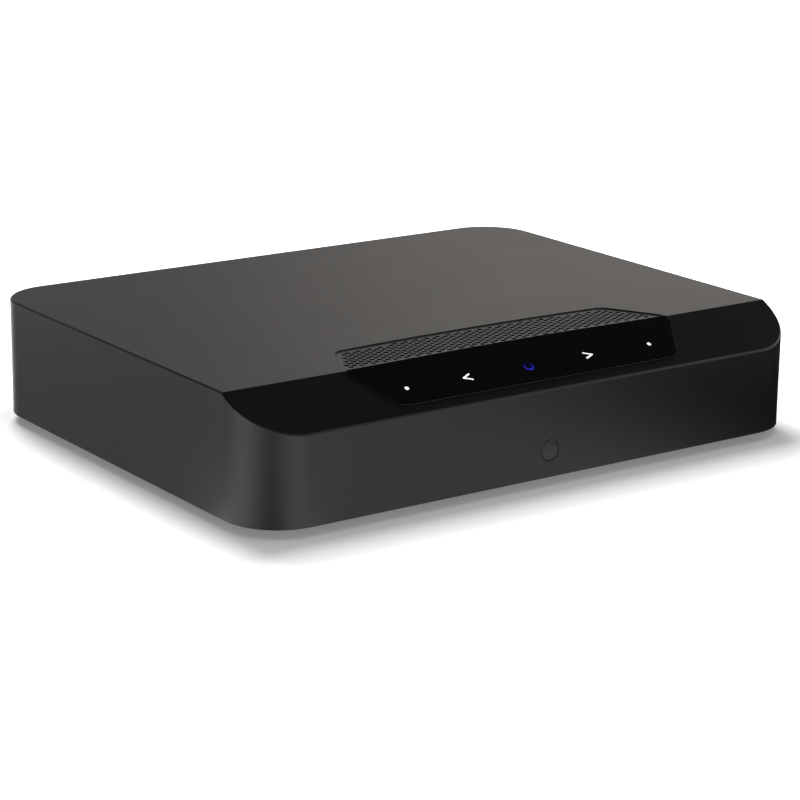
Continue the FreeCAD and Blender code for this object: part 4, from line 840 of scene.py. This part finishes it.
def make_network():
    """The network jack with its stepped mouth, eight slanting contacts and two lights."""
    low, high = span("ethernet_socket")
    x = (low.x + high.x) / 2
    sill = low.z + 3.4
    shelf = sill + 7.2
    notch = shelf + 1.8
    wide, narrow = 5.9, 3.1
    mouth = [(x - wide, sill), (x + wide, sill), (x + wide, shelf), (x + narrow, shelf), (x + narrow, notch),
             (x - narrow, notch), (x - narrow, shelf), (x - wide, shelf)]
    back_y = SOCKET_FACE - 12
    front = pierced([outline_of(low, high, 0, 0.4), mouth], back_y, high.y)
    back = solid_block((low.x, low.y, low.z), (high.x, back_y + 0.1, high.z))
    finish_piece("network_jack", joined([front, back]), black_plastic, nodes=("ethernet_socket",))
    wires = bmesh.new()
    slant = Matrix.Rotation(math.radians(-17), 3, "X")
    count, pitch = 8, 1.02
    for k in range(count):
        across = x + (k - (count - 1) / 2) * pitch
        made = block(wires, (across - 0.2, back_y + 0.5, -0.15), (across + 0.2, SOCKET_FACE - 1.8, 0.15))
        middle = Vector((across, (back_y + SOCKET_FACE - 1.3) / 2, 0)) * MM
        bmesh.ops.rotate(wires, verts=made, cent=middle, matrix=slant)
        bmesh.ops.translate(wires, verts=made, vec=Vector((0, 0, sill + 2.0)) * MM)
    finish_piece("network_contacts", wires, gold, edge=0.05)
    for side, name, material in ((-1, "left", link_green), (1, "right", link_amber)):
        across = x + side * 5.6
        near, far = high.y + 0.08, high.y - 2
        light = solid_block((across - 1.5, far, low.z + 0.8), (across + 1.5, near, low.z + 2.5))
        finish_piece("link_light_" + name, light, material, edge=0.12)


def bevelled(low, high, inset, bevel):
    """An inset box outline whose two lower corners are cut off."""
    left, right = low.x + inset, high.x - inset
    bottom, top = low.z + inset, high.z - inset
    return [(left + bevel, bottom), (right - bevel, bottom), (right, bottom + bevel), (right, top),
            (left, top), (left, bottom + bevel)]


def make_shell(name, node, outer, inner, skin):
    """A thin metal socket shell with a closed back."""
    low, high = span(node)
    half = skin / 2
    shell = pierced([outer, inner], low.y, high.y, skin * 0.3)
    back = solid_block((low.x + half, low.y, low.z + half), (high.x - half, low.y + skin, high.z - half))
    finish_piece(name, joined([shell, back]), nickel, nodes=(node,))


def make_tongue(name, node, count, pitch, contact_name, above):
    """The plastic tongue in a socket, with its flat contacts above or below."""
    low, high = span(node)
    finish_piece(name, solid_block(low, high), black_plastic, nodes=(node,), edge=0.12)
    strips = bmesh.new()
    level = high.z if above else low.z
    half = pitch * 0.24
    for k in range(count):
        across = (low.x + high.x) / 2 + (k - (count - 1) / 2) * pitch
        block(strips, (across - half, high.y - 6, level - 0.06), (across + half, high.y - 0.5, level + 0.06))
    place_piece(from_bmesh(contact_name, strips, smooth=False), gold)


def make_video():
    low, high = span("hdmi_socket")
    skin, bevel = 0.4, 1.3
    outer = rounded(bevelled(low, high, 0, bevel), {3: 0.5, 4: 0.5})
    inner = rounded(bevelled(low, high, skin, bevel), {3: 0.3, 4: 0.3})
    make_shell("video_shell", "hdmi_socket", outer, inner, skin)
    make_tongue("video_tongue", "hdmi_tongue", 10, 1.0, "video_contacts", True)


def make_memory():
    low, high = span("usb_socket")
    skin = 0.35
    outer, inner = outline_of(low, high, 0, 0.7), outline_of(low, high, -skin, 0.4)
    make_shell("memory_shell", "usb_socket", outer, inner, skin)
    make_tongue("memory_tongue", "usb_tongue", 4, 2.4, "memory_contacts", False)


# Signs on the rear plates

SIGN_Z = 33.4
SIGN_WIDTH = 0.45
NETWORK_WIDTH = 0.3


def make_signs():
    """A plus or minus by each post, a ring by the phono socket, and a plain network sign."""
    for i, post in enumerate(POSTS, start=1):
        strokes = [stroke(post.x - 1.2, SIGN_Z, post.x + 1.2, SIGN_Z, SIGN_WIDTH)]
        if i % 2:
            for low, high in ((32.2, 33.1), (33.7, 34.6)):
                strokes.append(stroke(post.x, low, post.x, high, SIGN_WIDTH))
        flat_mark(f"sign_{i}", strokes, on_rear, mark_grey)
    ring_z = 21.4
    rings = hoop(SUB.x, ring_z, 1.3, 0.4) + [round_outline(SUB.x, ring_z, 0.55, 24)]
    flat_mark("sub_sign", rings, on_rear, mark_grey)
    x = middle_of("ethernet_socket").x
    side, half = 2.2, 0.7
    outlines = []
    for across, z in ((x, 32.0), (x - side, 28.6), (x + side, 28.6)):
        outlines.append(box_outline(across - half, z - 0.6, across + half, z + 0.6))
    for x1, z1, x2, z2 in ((0, 31.1, 0, 30.5), (-side, 30.3, side, 30.3), (-side, 30.0, -side, 29.5),
                           (side, 30.0, side, 29.5)):
        outlines.append(stroke(x + x1, z1, x + x2, z2, NETWORK_WIDTH))
    flat_mark("network_sign", outlines, on_rear, mark_grey)


# Case screws

def make_screws():
    """Four screws in the base, with crossed recesses in their heads."""
    low, high = span("case_screws")
    head, tip = low.z, high.z
    profile = [(head, 0), (head, 2.5), (head + 0.2, 2.8), (head + 0.5, 2.95), (head + 1.25, 2.95),
               (head + 1.3, 1.5), (tip - 0.6, 1.5), (tip, 0.9), (tip, 0)]
    places = [(x, y) for x in (low.x + 3, high.x - 3) for y in (low.y + 3, high.y - 3)]
    for i, (x, y) in enumerate(places, start=1):
        screw = from_bmesh(f"base_screw_{i}", turned(profile, (x, y, 0), axis="Z", steps=48))
        for half_x, half_y in ((1.6, 0.35), (0.35, 1.6)):
            arm = solid_block((x - half_x, y - half_y, head - 1), (x + half_x, y + half_y, head + 0.85))
            carve(screw, arm)
        place_piece(soften(screw), dark_steel, nodes=("case_screws",))


# Every other CAD node keeps its own form

PLAIN = {
    "light_guide": milk_plastic, "touch_board": board_green, "ir_receiver": component,
    "front_board": board_green, "main_board": board_green, "power_board": board_green,
    "board_standoffs": nickel, "board_screws": steel, "transformer_core": ferrite,
    "transformer_winding": copper, "tank_capacitors": component, "line_choke": ferrite,
    "line_fuse": ceramic, "power_heatsink": aluminium, "chips": component, "amp_heatsink": aluminium,
    "processor_heatsink": aluminium, "output_coils": ferrite, "film_capacitors": component,
    "supply_capacitors": component, "network_module": board_green, "shield_can": nickel,
    "antennas": board_green, "flat_cable": black_plastic, "post_nuts": nickel,
}


def colour_plain_nodes():
    for name, material in PLAIN.items():
        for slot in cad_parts[name].material_slots:
            slot.material = material


# Floor, light and camera. Their places are in metres.

# The box round the case from which the floor's own light rises, so the floor is painted darker close to it
PAINTED_SHADOW_CENTRE = (0, -0.0125, 0)
PAINTED_SHADOW_HALF = (0.1095, 0.088, 0)


def flat_sheet(name, outline, z):
    mesh = bpy.data.meshes.new(name)
    mesh.from_pydata([(x, y, z) for x, y in outline], [], [tuple(range(len(outline)))])
    sheet = bpy.data.objects.new(name, mesh)
    bpy.context.scene.collection.objects.link(sheet)
    return sheet


def make_floor():
    """White paper. Its own light, seen by the camera and in reflections, is low near the case and rises to
    pure white away from it, so near the case it paints shadow on top of the shadow that the lamps cast.
    """
    floor = flat_sheet("floor", [(-6, -6), (6, -6), (6, 6), (-6, 6)], 0)
    paper, tree, shader = new_material("paper")
    shader.inputs["Roughness"].default_value = 0.9
    shader.inputs["Specular IOR Level"].default_value = 0.0
    shader.inputs["Base Color"].default_value = (0.8, 0.8, 0.8, 1)
    shader.inputs["Emission Color"].default_value = (1, 1, 1, 1)
    rays = add_node(tree, "ShaderNodeLightPath").outputs
    seen = calculate(tree, "MAXIMUM", rays["Is Camera Ray"], rays["Is Glossy Ray"])
    seen = calculate(tree, "MAXIMUM", seen, rays["Is Transmission Ray"])
    place = calculate_place(tree, "SUBTRACT", object_place(tree), PAINTED_SHADOW_CENTRE)
    place = calculate_place(tree, "ABSOLUTE", place)
    place = calculate_place(tree, "SUBTRACT", place, PAINTED_SHADOW_HALF)
    place = calculate_place(tree, "MAXIMUM", place, (0, 0, 0))
    away = calculate_place(tree, "LENGTH", place)
    # Painted shadow: the floor's own light is 0.15 at the box and rises to 1, white, 0.1 m away from it
    white = ramp(tree, away, 0.0, 0.2, [
        (0.0, 0.15), (0.004, 0.29), (0.008, 0.43), (0.012, 0.55), (0.018, 0.62), (0.03, 0.75),
        (0.06, 0.9), (0.1, 1.0)])
    tree.links.new(calculate(tree, "MULTIPLY", seen, white), shader.inputs["Emission Strength"])
    floor.data.materials.append(paper)


WALL_LIGHT = 0.75
CEILING_LIGHT = 0.015
LEFT_SHARE = 0.46
STRIP_LIGHT = 0.75
ROOM_LIGHT = 0.26
WARM_WHITE = (1.0, 0.95, 0.9, 1)


def make_world():
    """Reflections see walls that are bright low down, and brighter at the right. The camera sees
    white, and matt surfaces are lit by an even room."""
    world = bpy.context.scene.world or bpy.data.worlds.new("studio")
    bpy.context.scene.world = world
    world.use_nodes = True
    tree = world.node_tree
    tree.nodes.clear()
    rays = add_node(tree, "ShaderNodeLightPath").outputs
    way = parts_of(tree, add_node(tree, "ShaderNodeTexCoord").outputs["Generated"])
    wall = spread(tree, way["Z"], 0.3, 0.6, WALL_LIGHT, CEILING_LIGHT, "SMOOTHSTEP")
    right_lit = spread(tree, way["X"], 0.48, 0.6, LEFT_SHARE, 1.0, "SMOOTHSTEP")
    wall = calculate(tree, "MULTIPLY", wall, right_lit)
    # A low strip in front, which only the edges of the case reflect
    ahead = spread(tree, way["Y"], -0.25, -0.5, 0.0, STRIP_LIGHT, "SMOOTHSTEP")
    low_strip = ramp(tree, way["Z"], 0.0, 1.0, [(0.12, 0.0), (0.24, 1.0), (0.4, 1.0), (0.55, 0.0)])
    wall = calculate(tree, "ADD", wall, calculate(tree, "MULTIPLY", ahead, low_strip))
    lit = mix(tree, rays["Is Diffuse Ray"], wall, ROOM_LIGHT)
    lit = mix(tree, rays["Is Camera Ray"], lit, 1.0)
    tint = mix(tree, rays["Is Glossy Ray"], (1, 1, 1, 1), WARM_WHITE, coloured=True)
    back = add_node(tree, "ShaderNodeBackground", [("Color", tint), ("Strength", lit)])
    out = add_node(tree, "ShaderNodeOutputWorld")
    tree.links.new(back.outputs[0], out.inputs["Surface"])


def lamp(name, place, size, power):
    """A round soft lamp that points at the object and shows in no reflection."""
    light = bpy.data.lights.new(name, "AREA")
    light.shape = "DISK"
    light.size = size
    light.energy = power
    thing = bpy.data.objects.new(name, light)
    thing.location = place
    aim = Vector((0, 0, 0)) - Vector(place)
    thing.rotation_euler = aim.to_track_quat("-Z", "Y").to_euler()
    thing.visible_glossy = False
    bpy.context.scene.collection.objects.link(thing)


# The axis of the case's round front left corner, with its signs turned
CORNER_X = 0.0907
CORNER_Y = 0.0777
CARD_TINT = (0.975, 0.935, 1.0, 1)
CARD_BEHIND = 0.29
CARD_POWER = 1.25


def make_card():
    """A grey card on the floor round the front and left side, which only reflections see."""
    outline = [(-0.5, -0.5), (0.5, -0.5), (0.5, 0.07), (-0.108, 0.07), (-0.108, 0.35), (-0.5, 0.35)]
    card = flat_sheet("card", outline, 0.0005)
    card.visible_camera = False
    card.visible_shadow = False
    card.visible_diffuse = False
    card.visible_transmission = False
    made, tree, shader = new_material("card_paper")
    shader.inputs["Base Color"].default_value = (0, 0, 0, 1)
    shader.inputs["Specular IOR Level"].default_value = 0
    shader.inputs["Emission Color"].default_value = CARD_TINT
    place = parts_of(tree, object_place(tree))
    # The angle round the corner, from behind it, through the left, to the front
    x = calculate(tree, "ADD", place["X"], CORNER_X)
    y = calculate(tree, "ADD", place["Y"], CORNER_Y)
    angle = calculate(tree, "ARCTAN2", calculate(tree, "MULTIPLY", x, -1.0), y)
    angle = calculate(tree, "DEGREES", calculate(tree, "FLOORED_MODULO", angle, FULL_TURN))
    corner = ramp(tree, angle, 0, 270, [
        (0, 0.27), (45, 0.34), (63, 0.7), (77, 1.0), (98, 1.0), (118, 0.55), (136, 0.18), (151, 0.4),
        (168, 0.8), (186, 0.8), (205, 0.48), (225, 0.48)])
    front = ramp(tree, place["X"], -0.1, 0.2, [
        (-0.1, 1.0), (0.0, 0.92), (0.03, 1.0), (0.065, 0.5), (0.1, 0.08), (0.12, 0.0), (0.16, 0.0)])
    level = calculate(tree, "MULTIPLY", corner, front)
    behind = spread(tree, place["Y"], -0.05, 0.05, ease="SMOOTHSTEP")
    level = mix(tree, behind, level, CARD_BEHIND)
    power = calculate(tree, "MULTIPLY", level, CARD_POWER)
    tree.links.new(power, shader.inputs["Emission Strength"])
    card.data.materials.append(made)


PHOTO_WIDTH = 800
FOCAL_PIXELS = 2558.5
SENSOR = 36


def make_camera():
    """The photograph's camera, fitted to the edges of the case. Its lengths are in mm."""
    yaw, pitch, roll = -0.6194512, 0.2765182, 0.0121196
    away, aside, above = 884.21355, 2.05905, 4.93343
    target = Vector((0, -10.5, 3.2))
    back = Vector((math.sin(yaw) * math.cos(pitch), -math.cos(yaw) * math.cos(pitch), math.sin(pitch)))
    level = Vector((math.cos(yaw), math.sin(yaw), 0))
    rise = back.cross(level)
    right = math.cos(roll) * level + math.sin(roll) * rise
    up = -math.sin(roll) * level + math.cos(roll) * rise
    place = aside * right + above * up + away * back + target
    data = bpy.data.cameras.new("camera")
    data.sensor_fit = "HORIZONTAL"
    data.sensor_width = SENSOR
    data.lens = FOCAL_PIXELS * SENSOR / PHOTO_WIDTH
    data.clip_end = 20
    camera = bpy.data.objects.new("camera", data)
    turn = Matrix((right, up, back)).transposed().to_4x4()
    camera.matrix_world = Matrix.Translation(place * MM) @ turn
    bpy.context.scene.collection.objects.link(camera)
    bpy.context.scene.camera = camera


make_case()
make_grille()
make_panel()
make_window()
make_feet()
make_plates()
make_terminal_block()
for i, post in enumerate(POSTS, start=1):
    make_cap(i, post)
    make_insert(i, post)
make_studs()
make_sub()
make_audio()
make_mains()
make_network()
make_video()
make_memory()
make_signs()
make_screws()
colour_plain_nodes()

make_floor()
make_world()
lamp("rear", (0.2, 0.85, 1.05), 0.8, 16.5)
lamp("overhead", (0.0, 0.0, 1.6), 1.2, 4)
make_card()
make_camera()
bpy.context.scene.view_settings.view_transform = "Standard"
